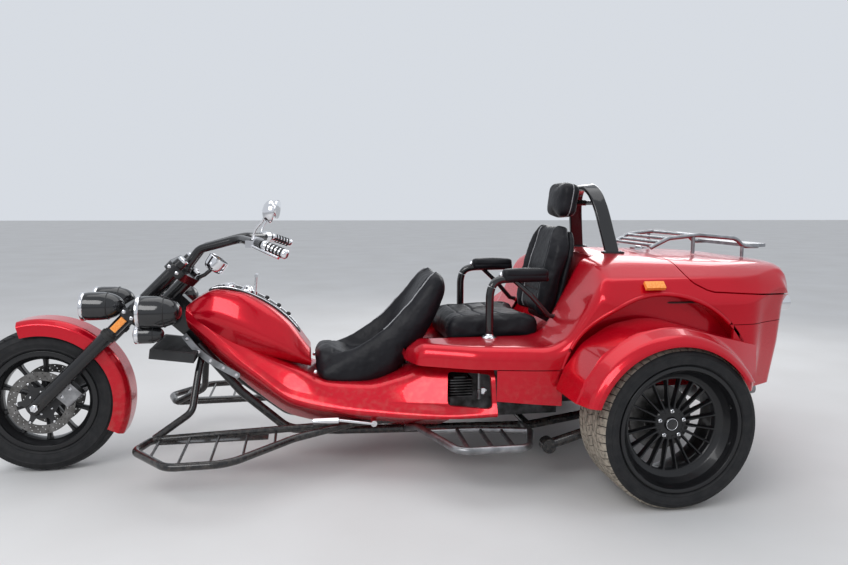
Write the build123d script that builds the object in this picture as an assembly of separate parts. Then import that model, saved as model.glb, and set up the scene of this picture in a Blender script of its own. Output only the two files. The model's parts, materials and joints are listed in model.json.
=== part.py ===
"""Motorized trike: one raked front wheel, two wide rear wheels, a driver's bucket seat low in
the middle, a passenger's seat behind it, and a car engine under the rear body.

Millimetres. The front is towards -X, +Y is the vehicle's right and +Z is up. The origin is on
the ground, under the middle of the vehicle's length and width. Each piece is written to its
own STEP file in parts/.
"""
from math import atan2, cos, radians, sin, tan
import os

from build123d import *

# Driving dimensions of the whole vehicle
WHEELBASE = 2600
REAR_AXLE_X = 1050
FRONT_AXLE_X = REAR_AXLE_X - WHEELBASE
RAKE = 45

# Rear wheels
REAR_TYRE_R = 330
REAR_TYRE_HALF = 137
REAR_WHEEL_Y = 755
REAR_RIM_R = 256
REAR_RIM_HALF = 129
REAR_SPOKES = 20
LUG_PCD = 108
LUGS = 5

# Front wheel
FRONT_TYRE_R = 325
FRONT_TYRE_HALF = 65
FRONT_RIM_R = 228
FRONT_RIM_HALF = 56
FRONT_SPOKES = 10
DISC_R = 140
DISC_Y = -76.5

# Fork: places on it are given along the legs from the axle, and behind the legs
LEG_Y = 120
LEG_R = 27
SLIDER_R = 31
SLIDER_LENGTH = 430
LEG_LENGTH = 880
AXLE_END_Y = 160
STEM_BEHIND = 67
LOWER_CLAMP_S = 560
UPPER_CLAMP_S = 835
CLAMP_HALF = 19
STEM_R = 15
HEAD_TUBE_R = 32
RUNNING = 0.05
AXLE_R = 11
CLAMP_GAP = 6
LAMP_BAR_X, LAMP_BAR_Y, LAMP_BAR_Z = -972, 215, 720

# Body shell
SHELL = 16
LINER = 12
SEAM = 6
ROOM_Y = 700
SEAT_ROOM_Z = 1100
WELL_X = 1080
WELL_Z = 410
WELL_R = 420
WELL_WALL_Y = 560
HINGE_X = 1211
HINGE_Y = 150
HINGE_Z = 1000
HINGE_HALF = 26
STRAP_HALF = 12
STRAP_LENGTH = 36
LEAF_LENGTH = 34
LEAF_FOOT_Z = 970
KNUCKLE_R = 6
HINGE_PIN_R = 3
FENDER_X = 1020
FENDER_EDGE_R = 338
FENDER_POST_R = 366
FENDER_INNER_Y = 600
FENDER_OUTER_Y = 912
FENDER_WALL = 8
SEAT_HALF = 265
SEAT_FLOOR_Z = 548
PANEL_SEAM_Z = 512
SKIRT_SEAM_Z = 700

# Tubes
RAIL_Z = 162
RAIL_Y = 230
RAIL_R = 20
CROSS_TUBE_R = 17
FOOT_TUBE_R = 16
FOOT_Z = 200
REST_Z = 215
BAR_R = 19
ARM_Y = 302
ARM_TUBE_R = 13
RACK_Y = 222
RACK_TUBE_R = 10
RACK_BAR_R = 8
RACK_POST_FOOT_Z = 900

# The share of an edge that the arcs at its two ends may take up
FIT = 0.96


def fitting_radii(points, radii, closed):
    """Corner radii cut back where two arcs would not fit on the edge between them."""
    count = len(points)
    places = [Vector(*point) for point in points]
    reach = [0.0] * count
    for i in range(count) if closed else range(1, count - 1):
        before, after = places[i] - places[i - 1], places[(i + 1) % count] - places[i]
        reach[i] = radii[i] * tan(radians(before.get_angle(after)) / 2)
    share = [1.0] * count
    for i in range(count if closed else count - 1):
        j = (i + 1) % count
        edge = (places[j] - places[i]).length
        both_reach = reach[i] + reach[j]
        if both_reach > FIT * edge:
            share[i] = min(share[i], FIT * edge / both_reach)
            share[j] = min(share[j], FIT * edge / both_reach)
    return [radius * part for radius, part in zip(radii, share)]


def rounded(rows):
    """A flat face from rows of (first, second, corner radius)."""
    points = [(first, second) for first, second, radius in rows]
    radii = fitting_radii(points, [radius for first, second, radius in rows], True)
    return make_face(FilletPolyline(*points, radius=radii, close=True).edges())


def outline(rows, plane):
    """A face on a plane, from rows of (along, up, corner radius)."""
    return plane * rounded(rows)


def side_plane(y):
    """The plane across the vehicle at y: its first axis is X, its second is Z."""
    return Plane(origin=(0, y, 0), x_dir=(1, 0, 0), z_dir=(0, -1, 0))


def cross_plane(x):
    """The plane along the vehicle at x: its first axis is Y, its second is Z."""
    return Plane(origin=(x, 0, 0), x_dir=(0, 1, 0), z_dir=(1, 0, 0))


def slab_y(rows, y0, y1):
    """A side outline of (x, z, radius) rows, from y0 to y1."""
    return extrude(outline(rows, side_plane(y0)), amount=y1 - y0, dir=(0, 1, 0))


def slab_z(rows, z0, z1):
    """A plan outline of (x, y, radius) rows, from z0 to z1."""
    return extrude(outline(rows, Plane.XY.offset(z0)), amount=z1 - z0, dir=(0, 0, 1))


def slab_x(rows, x0, x1):
    """A cross outline of (y, z, radius) rows, from x0 to x1."""
    return extrude(outline(rows, cross_plane(x0)), amount=x1 - x0, dir=(1, 0, 0))


def block(x0, x1, y0, y1, z0, z1):
    """A plain box between two corners."""
    return Pos((x0 + x1) / 2, (y0 + y1) / 2, (z0 + z1) / 2) * Box(x1 - x0, y1 - y0, z1 - z0)


def rod(start, end, radius, end_radius=None):
    """A round rod between two points, tapered when an end radius is given."""
    start = Vector(start)
    along = Vector(end) - start
    plane = Plane(origin=start, z_dir=along.normalized())
    if end_radius is None:
        return Part(Solid.make_cylinder(radius, along.length, plane).wrapped)
    return Part(Solid.make_cone(radius, end_radius, along.length, plane).wrapped)


def tube_along(points, radius, bends):
    """A round tube through points, with a bend radius at each inner point."""
    radii = fitting_radii(points, [0, *bends, 0], False)
    path = FilletPolyline(*points, radius=radii[1:-1])
    section = Plane(origin=path @ 0, z_dir=path % 0) * Circle(radius)
    return sweep(section, path=path)


def turned(rows, x, z):
    """A solid of revolution about a cross axis through (x, z), from (radius, y, corner) rows."""
    return Pos(x, 0, z) * revolve(rounded(rows), Axis.Y)


def right_of(left):
    """The mirror image of a left-hand piece."""
    return mirror(left, about=Plane.XZ)


def both(left):
    """A left-hand piece with its mirror image, as solids that share a node."""
    return left + right_of(left)


def on_fork(along, behind, y=0):
    """A point of the fork: along the legs from the axle, behind them, and across."""
    slope = radians(RAKE)
    return (FRONT_AXLE_X + along * cos(slope) + behind * sin(slope), y,
            FRONT_TYRE_R + along * sin(slope) - behind * cos(slope))


def fork_plane(along, behind=0, y=0):
    """A plane square to the fork legs, with its first axis towards the vehicle's right."""
    slope = radians(RAKE)
    return Plane(origin=on_fork(along, behind, y), x_dir=(0, 1, 0),
                 z_dir=(cos(slope), 0, sin(slope)))


# Rear body: the volume inside its skin is a side, a cross and a plan outline, all at once

# columns: x, z, corner radius
BODY_SIDE = [(40, 330, 0), (40, 540, 15), (105, 603, 60), (680, 603, 140), (862, 950, 110),
             (985, 1003, 150), (1795, 947, 30), (1852, 905, 50), (1877, 812, 10),
             (1858, 797, 6), (1840, 700, 60), (1817, 590, 120), (1722, 412, 80),
             (1380, 400, 0), (700, 355, 0)]
# columns: half width, z, corner radius
BODY_CROSS_HALF = [(655, 300, 0), (655, 838, 100), (600, 893, 60), (430, 966, 500)]
BODY_CROWN_Z = 1003
# columns: x, half width, corner radius
BODY_PLAN_HALF = [(40, 290, 0), (80, 410, 60), (300, 520, 250), (560, 572, 300),
                  (735, 592, 150), (860, 655, 150), (1500, 655, 300), (1755, 540, 160),
                  (1862, 260, 250)]
BODY_TAIL_X = 1890
# columns: x, z, corner radius
LID_SIDE = [(1218, 1200, 0), (1218, 905, 40), (1300, 842, 25), (1900, 806, 0), (1900, 1200, 0)]
RECESS_SIDE = [(20, SEAT_FLOOR_Z, 0), (20, SEAT_ROOM_Z, 0), (975, SEAT_ROOM_Z, 0), (930, 990, 0),
               (730, SEAT_FLOOR_Z, 40)]


# Rear mudguards: the crown's side outline, the plan, and the outer band about the fender's centre
# columns: x, z, corner radius
FENDER_SIDE = [(634, 200, 0), (634, 440, 20), (668, 525, 90), (740, 628, 160), (865, 706, 200),
               (1030, 737, 350), (1490, 616, 25), (1490, 200, 0)]
# columns: x, y, corner radius
FENDER_PLAN = [(600, -FENDER_INNER_Y, 0), (1376, -FENDER_INNER_Y, 0), (1426, -670, 40),
               (1486, -690, 25), (1345, -FENDER_OUTER_Y, 70), (668, -FENDER_OUTER_Y, 60),
               (600, -850, 40)]
# columns: radius, y, corner radius
FENDER_BAND = [(100, -FENDER_OUTER_Y, 0), (350, -FENDER_OUTER_Y, 20), (376, -892, 40),
               (398, -818, 40), (560, -700, 0), (560, -500, 0), (100, -500, 0)]


def body_volume(inset):
    """The rear body's outer volume, drawn in by a wall thickness."""
    halves = BODY_CROSS_HALF
    cross = ([(-y, z, r) for y, z, r in halves] + [(0, BODY_CROWN_Z, 900)]
             + [(y, z, r) for y, z, r in reversed(halves)])
    plan = ([(x, -y, r) for x, y, r in BODY_PLAN_HALF] + [(BODY_TAIL_X, 0, 700)]
            + [(x, y, r) for x, y, r in reversed(BODY_PLAN_HALF)])
    faces = [outline(BODY_SIDE, side_plane(-ROOM_Y)), outline(cross, cross_plane(0)),
             outline(plan, Plane.XY.offset(250))]
    ways = [((0, 1, 0), 2 * ROOM_Y), ((1, 0, 0), 1900), ((0, 0, 1), 800)]
    volume = None
    for face, (way, amount) in zip(faces, ways):
        if inset:
            face = offset(face, amount=-inset)
        piece = extrude(face, amount=amount, dir=way)
        volume = piece if volume is None else volume & piece
    return volume


OUTER = body_volume(0)
INNER = body_volume(SHELL)
SKIN = OUTER - INNER


def well_cylinder(radius):
    """The round of the wheel wells, right across the body."""
    return Pos(WELL_X, 0, WELL_Z) * Rot(90, 0, 0) * Cylinder(radius, 2 * ROOM_Y)


def outboard_of(y, bottom):
    """The room outside |y| on both sides, from a bottom height upwards."""
    return both(block(0, 1900, -ROOM_Y, -y, bottom, SEAT_ROOM_Z))


def make_rear_body():
    """Shelf, seat recess, deck and quarters in one shell, with its wheel wells."""
    skin = SKIN - block(0, 1390, -ROOM_Y, ROOM_Y, 300, PANEL_SEAM_Z)
    skin -= block(1380, 1900, -ROOM_Y, ROOM_Y, 300, SKIRT_SEAM_Z)
    recess = slab_y(RECESS_SIDE, -SEAT_HALF, SEAT_HALF)
    pan_side = [(20, SEAT_FLOOR_Z - LINER, 0), (20, SEAT_ROOM_Z, 0), (990, SEAT_ROOM_Z, 0),
                (945, 990, 0), (741, SEAT_FLOOR_Z - LINER, 40)]
    pan = slab_y(pan_side, -SEAT_HALF - LINER, SEAT_HALF + LINER) & OUTER
    liner = well_cylinder(WELL_R + LINER) & outboard_of(WELL_WALL_Y - LINER, 420) & OUTER
    body = skin + pan + liner
    body = body - recess - (well_cylinder(WELL_R) & outboard_of(WELL_WALL_Y, 300))
    lid_cut = extrude(offset(outline(LID_SIDE, side_plane(-ROOM_Y)), amount=SEAM),
                      amount=2 * ROOM_Y, dir=(0, 1, 0))
    return body - lid_cut


def hinge_rod(y, half, radius):
    """A cylinder on the lid's hinge axis, to both sides of y."""
    return rod((HINGE_X, y - half, HINGE_Z), (HINGE_X, y + half, HINGE_Z), radius)


def make_trunk_lid():
    """The lid: deck, shoulders and tail lip in one crowned shell, with its hinge knuckles."""
    lid = SKIN & slab_y(LID_SIDE, -ROOM_Y, ROOM_Y)
    strap_end = HINGE_X + STRAP_LENGTH
    for y in (-HINGE_Y, HINGE_Y):
        low, high = y - STRAP_HALF, y + STRAP_HALF
        strap = block(HINGE_X, strap_end, low, high, HINGE_Z - 6, HINGE_Z - 2)
        strap += block(LID_SIDE[1][0], strap_end, low, high, LEAF_FOOT_Z, HINGE_Z - 5) - OUTER
        lid += strap + hinge_rod(y, STRAP_HALF, KNUCKLE_R)
        lid -= hinge_rod(y, HINGE_HALF, HINGE_PIN_R + RUNNING)
    return lid


def make_lid_hinges():
    """The body halves of the lid's two hinges: leaf, outer knuckles and pin."""
    hinges = None
    for y in (-HINGE_Y, HINGE_Y):
        leaf = block(HINGE_X - LEAF_LENGTH, HINGE_X, y - HINGE_HALF, y + HINGE_HALF, LEAF_FOOT_Z,
                     HINGE_Z - 2) - OUTER
        knuckles = hinge_rod(y, HINGE_HALF, KNUCKLE_R)
        relief = hinge_rod(y, STRAP_HALF + 1, KNUCKLE_R + 1)
        hinge = leaf + knuckles - relief + hinge_rod(y, HINGE_HALF, HINGE_PIN_R)
        hinges = hinge if hinges is None else hinges + hinge
    return hinges


def make_rear_skirt():
    """The lower tail panel, a shell round the back of the body."""
    zone = slab_y([(1400, 390, 0), (1400, SKIRT_SEAM_Z - 3, 0), (1900, SKIRT_SEAM_Z - 3, 0),
                   (1900, 390, 0)], -ROOM_Y, ROOM_Y)
    skirt = (SKIN & zone) - block(1390, 1700, -540, 540, 380, 440)
    return skirt - well_cylinder(WELL_R + LINER)


def make_side_panels():
    """The lower panels between the side openings and the wheel wells."""
    zone = block(408, 800, -ROOM_Y, ROOM_Y, 300, PANEL_SEAM_Z - 3)
    zone -= block(400, 800, -480, 480, 200, 600)
    return (SKIN & zone) - well_cylinder(WELL_R + LINER)


def make_trunk_tub():
    """The boot: an open box under the lid, hung in the body by its flange."""
    outer = slab_z([(1300, -440, 40), (1660, -440, 60), (1745, -300, 60), (1745, 300, 60),
                    (1660, 440, 60), (1300, 440, 40)], 560, 790)
    inner = slab_z([(1310, -430, 30), (1655, -430, 50), (1735, -296, 50), (1735, 296, 50),
                    (1655, 430, 50), (1310, 430, 30)], 570, 800)
    flange = INNER & block(1300, 1772, -ROOM_Y, ROOM_Y, 782, 790)
    return outer + flange - inner


# Front tub: sections across the vehicle, from the nose under the cowl to the engine bay
# columns: x, bottom z, lip z, top z, half widths at the bottom, lip, wall and top, lip radius
TUB_SECTIONS = [
    (-925, 640, 680, 740, 40, 80, 72, 55, 20),
    (-770, 470, 545, 640, 60, 134, 120, 95, 36),
    (-600, 318, 420, 535, 85, 195, 168, 140, 50),
    (-450, 222, 325, 470, 110, 255, 220, 175, 55),
    (-290, 192, 298, 405, 135, 312, 272, 215, 50),
    (-130, 186, 288, 400, 165, 365, 315, 250, 35),
    (30, 186, 286, 440, 200, 425, 365, 290, 25),
    (200, 190, 292, 506, 240, 488, 425, 340, 18),
    (402, 196, 312, 512, 270, 548, 520, 480, 14),
]
TUB_WALL = 16
WALL_FOOT = 50
# Cowl over the nose, shaped like a tank
# columns: x, bottom z, widest z, top z, bottom half width, greatest half width, top half width
COWL_SECTIONS = [
    (-932, 668, 700, 735, 30, 62, 30),
    (-870, 628, 705, 782, 62, 112, 62),
    (-790, 585, 700, 815, 92, 150, 88),
    (-690, 540, 665, 803, 115, 178, 108),
    (-580, 508, 610, 752, 128, 192, 115),
    (-470, 480, 552, 662, 128, 190, 108),
    (-372, 452, 482, 532, 105, 150, 85),
]


def hexagon_section(row, grow=0):
    """A rounded six-sided section from one row of a section table."""
    x, low, middle, top, w_low, w_mid, w_top = row
    r_low, r_mid, r_top = 0.35 * w_low, 0.3 * w_mid, 0.4 * w_top
    half = [(w_low, low - grow, r_low), (w_mid + grow, middle, r_mid),
            (w_top, top + grow, r_top)]
    rows = half + [(-y, z, r) for y, z, r in reversed(half)]
    return outline(rows, cross_plane(x))


def tub_section(row, inset=0, drop=0):
    """A section of the front tub; an inset section is open below by the drop."""
    x, low, lip, top, w_low, w_lip, w_wall, w_top, r_lip = row
    half = [(w_low, low - drop, 0.35 * w_low), (w_lip - inset, lip, r_lip),
            (w_wall - inset, lip + WALL_FOOT, 20), (w_top - inset, top - inset, 0.25 * w_top)]
    if inset:
        half[0] = (w_lip - inset, low - drop, 0)
    rows = half + [(-y, z, r) for y, z, r in reversed(half)]
    return outline(rows, cross_plane(x))


def make_cowl():
    """The tank-shaped cowl."""
    return loft([hexagon_section(row) for row in COWL_SECTIONS])


def make_driver_seat():
    """A bucket seat: a curled side outline with a trough between two bolsters."""
    side = [(-366, 440, 30), (-352, 545, 45), (-190, 530, 120), (-40, 640, 150), (140, 898, 40),
            (205, 935, 30), (248, 880, 35), (150, 640, 200), (30, 430, 120), (-150, 366, 150),
            (-330, 380, 40)]
    seat = slab_y(side, -225, 225)
    trough = slab_y([(-420, 492, 0), (-180, 452, 120), (-20, 500, 120), (190, 905, 60),
                     (205, 1000, 0), (-420, 1000, 0)], -140, 140)
    seat -= trough
    return seat


def make_body_tub(cowl, seat):
    """The front tub, with the engine bay and the side openings cut out of its rear."""
    tub = loft([tub_section(row) for row in TUB_SECTIONS], ruled=True)
    bay_rows = [TUB_SECTIONS[-2], (TUB_SECTIONS[-1][0] + 1, *TUB_SECTIONS[-1][1:])]
    bay = loft([tub_section(row, TUB_WALL, 40) for row in bay_rows])
    opening = slab_y([(206, 335, 20), (386, 338, 25), (386, 476, 15), (220, 470, 20)],
                     -ROOM_Y, ROOM_Y)
    top = block(60, 500, -ROOM_Y, ROOM_Y, PANEL_SEAM_Z - SEAM, 700)
    return tub - bay - opening - top - cowl - seat


def make_cowl_trim(cowl):
    """The dark strip along the top of the cowl."""
    over = loft([hexagon_section(row, 7) for row in COWL_SECTIONS])
    zone = slab_z([(-830, -40, 15), (-700, -62, 60), (-420, -40, 20), (-420, 40, 20),
                   (-700, 62, 60), (-830, 40, 15)], 520, 900)
    low = slab_y([(-840, 700, 0), (-420, 480, 0), (-380, 600, 0), (-380, 900, 0), (-840, 900, 0)],
                 -100, 100)
    return (over & zone & low) - cowl


def make_frame():
    """The steering head with its neck and lamp bar, and the rails under the floor."""
    head_low = LOWER_CLAMP_S + CLAMP_HALF + CLAMP_GAP
    head_high = UPPER_CLAMP_S - CLAMP_HALF - CLAMP_GAP
    head = rod(on_fork(head_low, STEM_BEHIND), on_fork(head_high, STEM_BEHIND), HEAD_TUBE_R)
    neck = slab_y([(-1052, 700, 10), (-960, 800, 10), (-860, 700, 0), (-820, 560, 0), (-900, 560, 0)],
                  -28, 28)
    lamp_bar = rod((LAMP_BAR_X, -LAMP_BAR_Y, LAMP_BAR_Z), (LAMP_BAR_X, LAMP_BAR_Y, LAMP_BAR_Z), 14)
    rails = tube_along([(-880, -45, 560), (-690, -95, 345), (-480, -130, 170), (-250, -160, RAIL_Z),
                        (640, -RAIL_Y, RAIL_Z)], RAIL_R, [150, 120, 300])
    rear = tube_along([(640, -RAIL_Y, RAIL_Z), (900, -RAIL_Y, 200), (1250, -RAIL_Y, 330),
                       (1640, -RAIL_Y, 380)], RAIL_R, [200, 150])
    frame = head + neck + lamp_bar + both(rails) + both(rear)
    for x, y, z in ((-250, 160, RAIL_Z), (80, 182, RAIL_Z), (640, RAIL_Y, RAIL_Z),
                    (1250, RAIL_Y, 330), (1640, RAIL_Y, 380)):
        frame += rod((x, -y, z), (x, y, z), CROSS_TUBE_R)
    bore = rod(on_fork(head_low - 40, STEM_BEHIND), on_fork(head_high + 40, STEM_BEHIND),
               STEM_R + RUNNING)
    return frame - bore


def make_engine():
    """The engine as one plain block, with the gearbox and final drive behind it."""
    engine = block(262, 780, -225, 225, 215, 470) + block(320, 690, -140, 140, 188, 216)
    engine += block(779, 1120, -120, 120, 235, 440)
    engine += rod((REAR_AXLE_X, -150, REAR_TYRE_R), (REAR_AXLE_X, 150, REAR_TYRE_R), 70)
    engine += rod((262, -150, 380), (228, -150, 380), 60)
    return engine + rod((262, 120, 330), (232, 120, 330), 50)


def make_rear_axle(frame):
    """Trailing arms with knuckles and stub axles, and the drive shafts."""
    x, z = REAR_AXLE_X, REAR_TYRE_R
    arm = rod((640, -505, RAIL_Z), (x - 35, -580, z - 25), 22)
    arm += rod((640, -530, RAIL_Z), (640, -478, RAIL_Z), 32)
    arm += block(x - 50, x + 50, -612, -572, z - 55, z + 55)
    arm += rod((x, -612, z), (x, -792, z), 20)
    arm += rod((x, -151, z), (x, -575, z), 15)
    arm += rod((x, -151, z), (x, -220, z), 42, 26)
    arm += rod((x, -572, z), (x, -500, z), 42, 26)
    return both(arm - frame)


def make_rear_shocks(arms):
    """Coil-over shocks, with the spring as stacked rings."""
    low, high = Vector(930, -545, 292), Vector(975, -440, 512)
    along = high - low
    shock = rod(low, high, 14)
    rings = 8
    for ring in range(rings):
        start = low + along * (0.2 + 0.68 * ring / rings)
        shock += rod(start, start + along * 0.045, 31)
    shock += rod(low + along * 0.16, low + along * 0.92, 22)
    return both(shock - arms)


def make_exhaust(engine):
    """Down pipe, cross muffler and two tail pipes."""
    pipe = tube_along([(700, 170, 222), (860, 165, 200), (1330, 165, 215), (1540, 165, 285)], 23,
                      [150, 200])
    pipe += rod((1560, -300, 285), (1560, 300, 285), 60)
    for y in (-240, 240):
        pipe += rod((1560, y, 285), (1800, y, 300), 30)
        pipe -= rod((1640, y, 290), (1810, y, 300.6), 26)
    return pipe - engine


def make_radiator(frame, tub):
    """The flat cooler under the nose, with a row of fins above and below its core."""
    half_x, half_y, pitch, count = 95, 180, 24, 13
    core = Box(2 * half_x, 2 * half_y, 42)
    for fin in range(count):
        y = (fin - (count - 1) / 2) * pitch
        for z in (-21, 21):
            core -= Pos(0, y, z) * Box(2 * half_x - 24, 12, 16)
    return Pos(-975, 0, 537) * Rot(0, 8, 0) * core - frame - tub


def bullet(front_x, y, z, radius, length):
    """A bullet-shaped lamp with its lens towards -X."""
    rows = [(0, 0, 0), (0, radius, 3), (0.1 * length, radius, 0), (0.5 * length, radius * 0.97, 40),
            (0.93 * length, radius * 0.5, 25), (length, 0.25 * radius, 0), (length, 0, 0)]
    return Pos(front_x, y, z) * revolve(rounded(rows), Axis.X)


def make_side_lamps(frame):
    """The lamps on the neck's cross bar, each with a small lamp under it."""
    lamp = bullet(-1087, -250, LAMP_BAR_Z + 26, 70, 170)
    lamp += bullet(-1100, -246, LAMP_BAR_Z - 70, 40, 110)
    lamp += rod((-1035, -248, LAMP_BAR_Z - 70), (-1035, -248, LAMP_BAR_Z), 8)
    return both(lamp - frame)


def make_front_lamps():
    """The two lamps ahead of the fork."""
    return both(bullet(-1350, -100, 755, 63, 168))


def clamp_outline(along):
    """The plan of a fork clamp, in a plane square to the legs."""
    rows = [(-162, 42, 40), (162, 42, 40), (162, -42, 40), (48, -108, 38), (-48, -108, 38),
            (-162, -42, 40)]
    return extrude(outline(rows, fork_plane(along - CLAMP_HALF)), amount=2 * CLAMP_HALF)


def make_fork_legs():
    """Both legs with their sliders, caps and the front axle."""
    leg = rod(on_fork(-34, 0, -LEG_Y), on_fork(SLIDER_LENGTH, 0, -LEG_Y), SLIDER_R)
    leg += rod(on_fork(SLIDER_LENGTH, 0, -LEG_Y), on_fork(LEG_LENGTH, 0, -LEG_Y), LEG_R)
    leg += rod(on_fork(LEG_LENGTH, 0, -LEG_Y), on_fork(LEG_LENGTH + 12, 0, -LEG_Y), 19)
    axle = rod((FRONT_AXLE_X, -AXLE_END_Y, FRONT_TYRE_R), (FRONT_AXLE_X, AXLE_END_Y, FRONT_TYRE_R),
               AXLE_R)
    return both(leg) + axle


def make_steering_stem(legs, lamps):
    """The lower clamp with the stem that turns in the steering head."""
    clamp = clamp_outline(LOWER_CLAMP_S)
    clamp += rod(on_fork(LOWER_CLAMP_S, STEM_BEHIND), on_fork(LEG_LENGTH - 8, STEM_BEHIND), STEM_R)
    for y in (-100, 100):
        clamp += rod(on_fork(LOWER_CLAMP_S, -10, y), (-1262, y, 718), 10)
    return clamp - legs - lamps


def make_upper_clamp(legs, stem):
    """The upper clamp."""
    return clamp_outline(UPPER_CLAMP_S) - legs - stem


def make_handlebar(clamp, stem):
    """The wide bar: two arms that rise from the upper clamp and splay to the grips."""
    base = on_fork(UPPER_CLAMP_S + CLAMP_HALF - 2, 26, -48)
    arm = tube_along([base, (-862, -56, 998), (-680, -112, 1047), (-565, -348, 1033)], BAR_R,
                     [60, 90])
    arm += Pos(*base) * Sphere(BAR_R)
    return both(arm) + rod(base, (base[0], -base[1], base[2]), BAR_R) - clamp - stem


def make_grips(handlebar, levers):
    """The two hand grips."""
    return both(rod((-565, -348, 1033), (-467, -402, 995), 20) - handlebar - levers)


def make_levers(handlebar):
    """The hand levers on their collars."""
    lever = rod((-600, -330 + 53, 1038), (-582, -313, 1036), 27)
    lever += block(-640, -600, -318, -278, 1020, 1050)
    lever += rod((-625, -300, 1032), (-500, -440, 985), 6)
    return both(lever - handlebar)


def make_mirrors(levers, handlebar):
    """Two round mirrors on stalks."""
    stalk = rod((-615, -300, 1045), (-532, -365, 1178), 5)
    head = Pos(-532, -365, 1178) * Rot(0, 90, 12) * Cylinder(52, 16)
    head = fillet(head.edges(), 6)
    return both((stalk + head) - levers - handlebar)


def make_speedometer(clamp):
    """The round gauge in its cup, tipped towards the driver."""
    cup = Pos(-800, 0, 922) * Rot(0, 35, 0) * Cylinder(50, 62)
    cup = fillet(cup.edges(), 8)
    return (cup + rod((-882, 0, 862), (-815, 0, 905), 9)) - clamp


def make_front_fender(legs):
    """The front mudguard, a U-section arc with pads to the sliders."""
    arc, start = 130, -26
    rows = [(300, -86, 0), (352, -86, 0), (372, -62, 0), (372, 62, 0), (352, 86, 0), (300, 86, 0),
            (300, 81, 0), (350, 81, 0), (367, 60, 0), (367, -60, 0), (350, -81, 0), (300, -81, 0)]
    corners = [0, 14, 30, 30, 14, 0, 0, 10, 26, 26, 10, 0]
    profile = rounded([(r, y, corner) for (r, y, c), corner in zip(rows, corners)])
    guard = revolve(profile, Axis.Y, revolution_arc=arc)
    guard = Pos(FRONT_AXLE_X, 0, FRONT_TYRE_R) * Rot(0, -(start + arc), 0) * guard
    pad = rod(on_fork(335, 0, -84), on_fork(335, 0, -100), 14)
    return guard + both(pad - legs)


def make_calipers(legs):
    """The brake calipers on the sliders, each slotted over its disc."""
    row = [(-104, -31 + 12, 0), (-56, -31 + 12, 0), (-56, -100, 10), (-104, -100, 10)]
    body = extrude(outline(row, fork_plane(70)), amount=85)
    slot = Pos(FRONT_AXLE_X, DISC_Y, FRONT_TYRE_R) * Rot(90, 0, 0) * Cylinder(DISC_R + 6, 17)
    return both(body - slot - legs)


def make_fork_reflectors(legs):
    """Amber reflectors on the outside of the legs."""
    row = [(-157, 15, 4), (-140, 15, 0), (-140, -15, 0), (-157, -15, 4)]
    return both(extrude(outline(row, fork_plane(465)), amount=70) - legs)


def spokes(count, inner, outer, width, y0, y1):
    """Radial bars about the Y axis, between two radii."""
    bars = None
    for index in range(count):
        bar = Rot(0, 360 * index / count, 0) * block(inner, outer, y0, y1, -width / 2, width / 2)
        bars = bar if bars is None else bars + bar
    return bars


def make_front_wheel():
    """Cast rim, spokes and hub."""
    lip, side = FRONT_RIM_R, FRONT_RIM_HALF
    half = [(lip - 22, -side, 2), (lip, -side, 3), (lip, 6 - side, 0), (lip - 16, 6 - side, 0),
            (lip - 36, -24, 10)]
    inside = [(lip - 44, 28, 8), (lip - 44, -28, 8)]
    rim = turned(half + [(r, -y, c) for r, y, c in reversed(half)] + inside, 0, 0)
    hub = Rot(90, 0, 0) * Cylinder(38, 158)
    wheel = rim + hub + spokes(FRONT_SPOKES, 30, lip - 38, 20, -12, 12)
    wheel -= Rot(90, 0, 0) * Cylinder(AXLE_R + RUNNING, 200)
    return Pos(FRONT_AXLE_X, 0, FRONT_TYRE_R) * wheel


def make_front_tyre():
    """The front tyre."""
    bead, side, tread = FRONT_RIM_R, FRONT_TYRE_HALF, FRONT_TYRE_R
    half = [(bead - 15.5, 15.5 - side, 0), (bead + 2, 15.5 - side, 0), (bead + 22, 1 - side, 15),
            (tread - 37, -side, 20), (tread - 9, 15 - side, 18), (tread, 43 - side, 30)]
    return turned(half + [(r, -y, c) for r, y, c in reversed(half)], FRONT_AXLE_X, FRONT_TYRE_R)


def make_brake_discs(wheel):
    """Two front brake discs."""
    disc = Cylinder(DISC_R, 5) - Cylinder(60, 6) + Cylinder(62, 4) - Cylinder(38, 6)
    return both((Pos(FRONT_AXLE_X, DISC_Y, FRONT_TYRE_R) * Rot(90, 0, 0) * disc) - wheel)


def make_rear_wheel():
    """The left rear wheel: deep barrel, thin spokes near the outer side, and the hub."""
    lip = REAR_RIM_R
    y_out, y_in = -REAR_WHEEL_Y - REAR_RIM_HALF, -REAR_WHEEL_Y + REAR_RIM_HALF
    rim = turned([(lip - 24, y_out, 2), (lip, y_out, 4), (lip, y_out + 7, 0),
                  (lip - 16, y_out + 7, 0), (lip - 23, y_out + 42, 6), (lip - 23, y_in - 42, 6),
                  (lip - 16, y_in - 7, 0), (lip, y_in - 7, 0), (lip, y_in, 4), (lip - 24, y_in, 2),
                  (lip - 31, y_in - 42, 5), (lip - 31, y_out + 34, 5)], 0, 0)
    hub = Pos(0, -750, 0) * Rot(90, 0, 0) * Cylinder(72, 100)
    wheel = rim + hub + spokes(REAR_SPOKES, 60, lip - 28, 9, -800, -778)
    wheel += Pos(0, -803, 0) * Rot(90, 0, 0) * Cylinder(30, 8)
    wheel -= Pos(0, -745, 0) * Rot(90, 0, 0) * Cylinder(20 + RUNNING, 100)
    for lug in range(LUGS):
        angle = radians(90 + 360 * lug / LUGS)
        wheel -= (Pos(LUG_PCD / 2 * cos(angle), -800, LUG_PCD / 2 * sin(angle))
                  * Rot(90, 0, 0) * Cylinder(11, 16))
    return Pos(REAR_AXLE_X, 0, REAR_TYRE_R) * wheel


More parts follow.
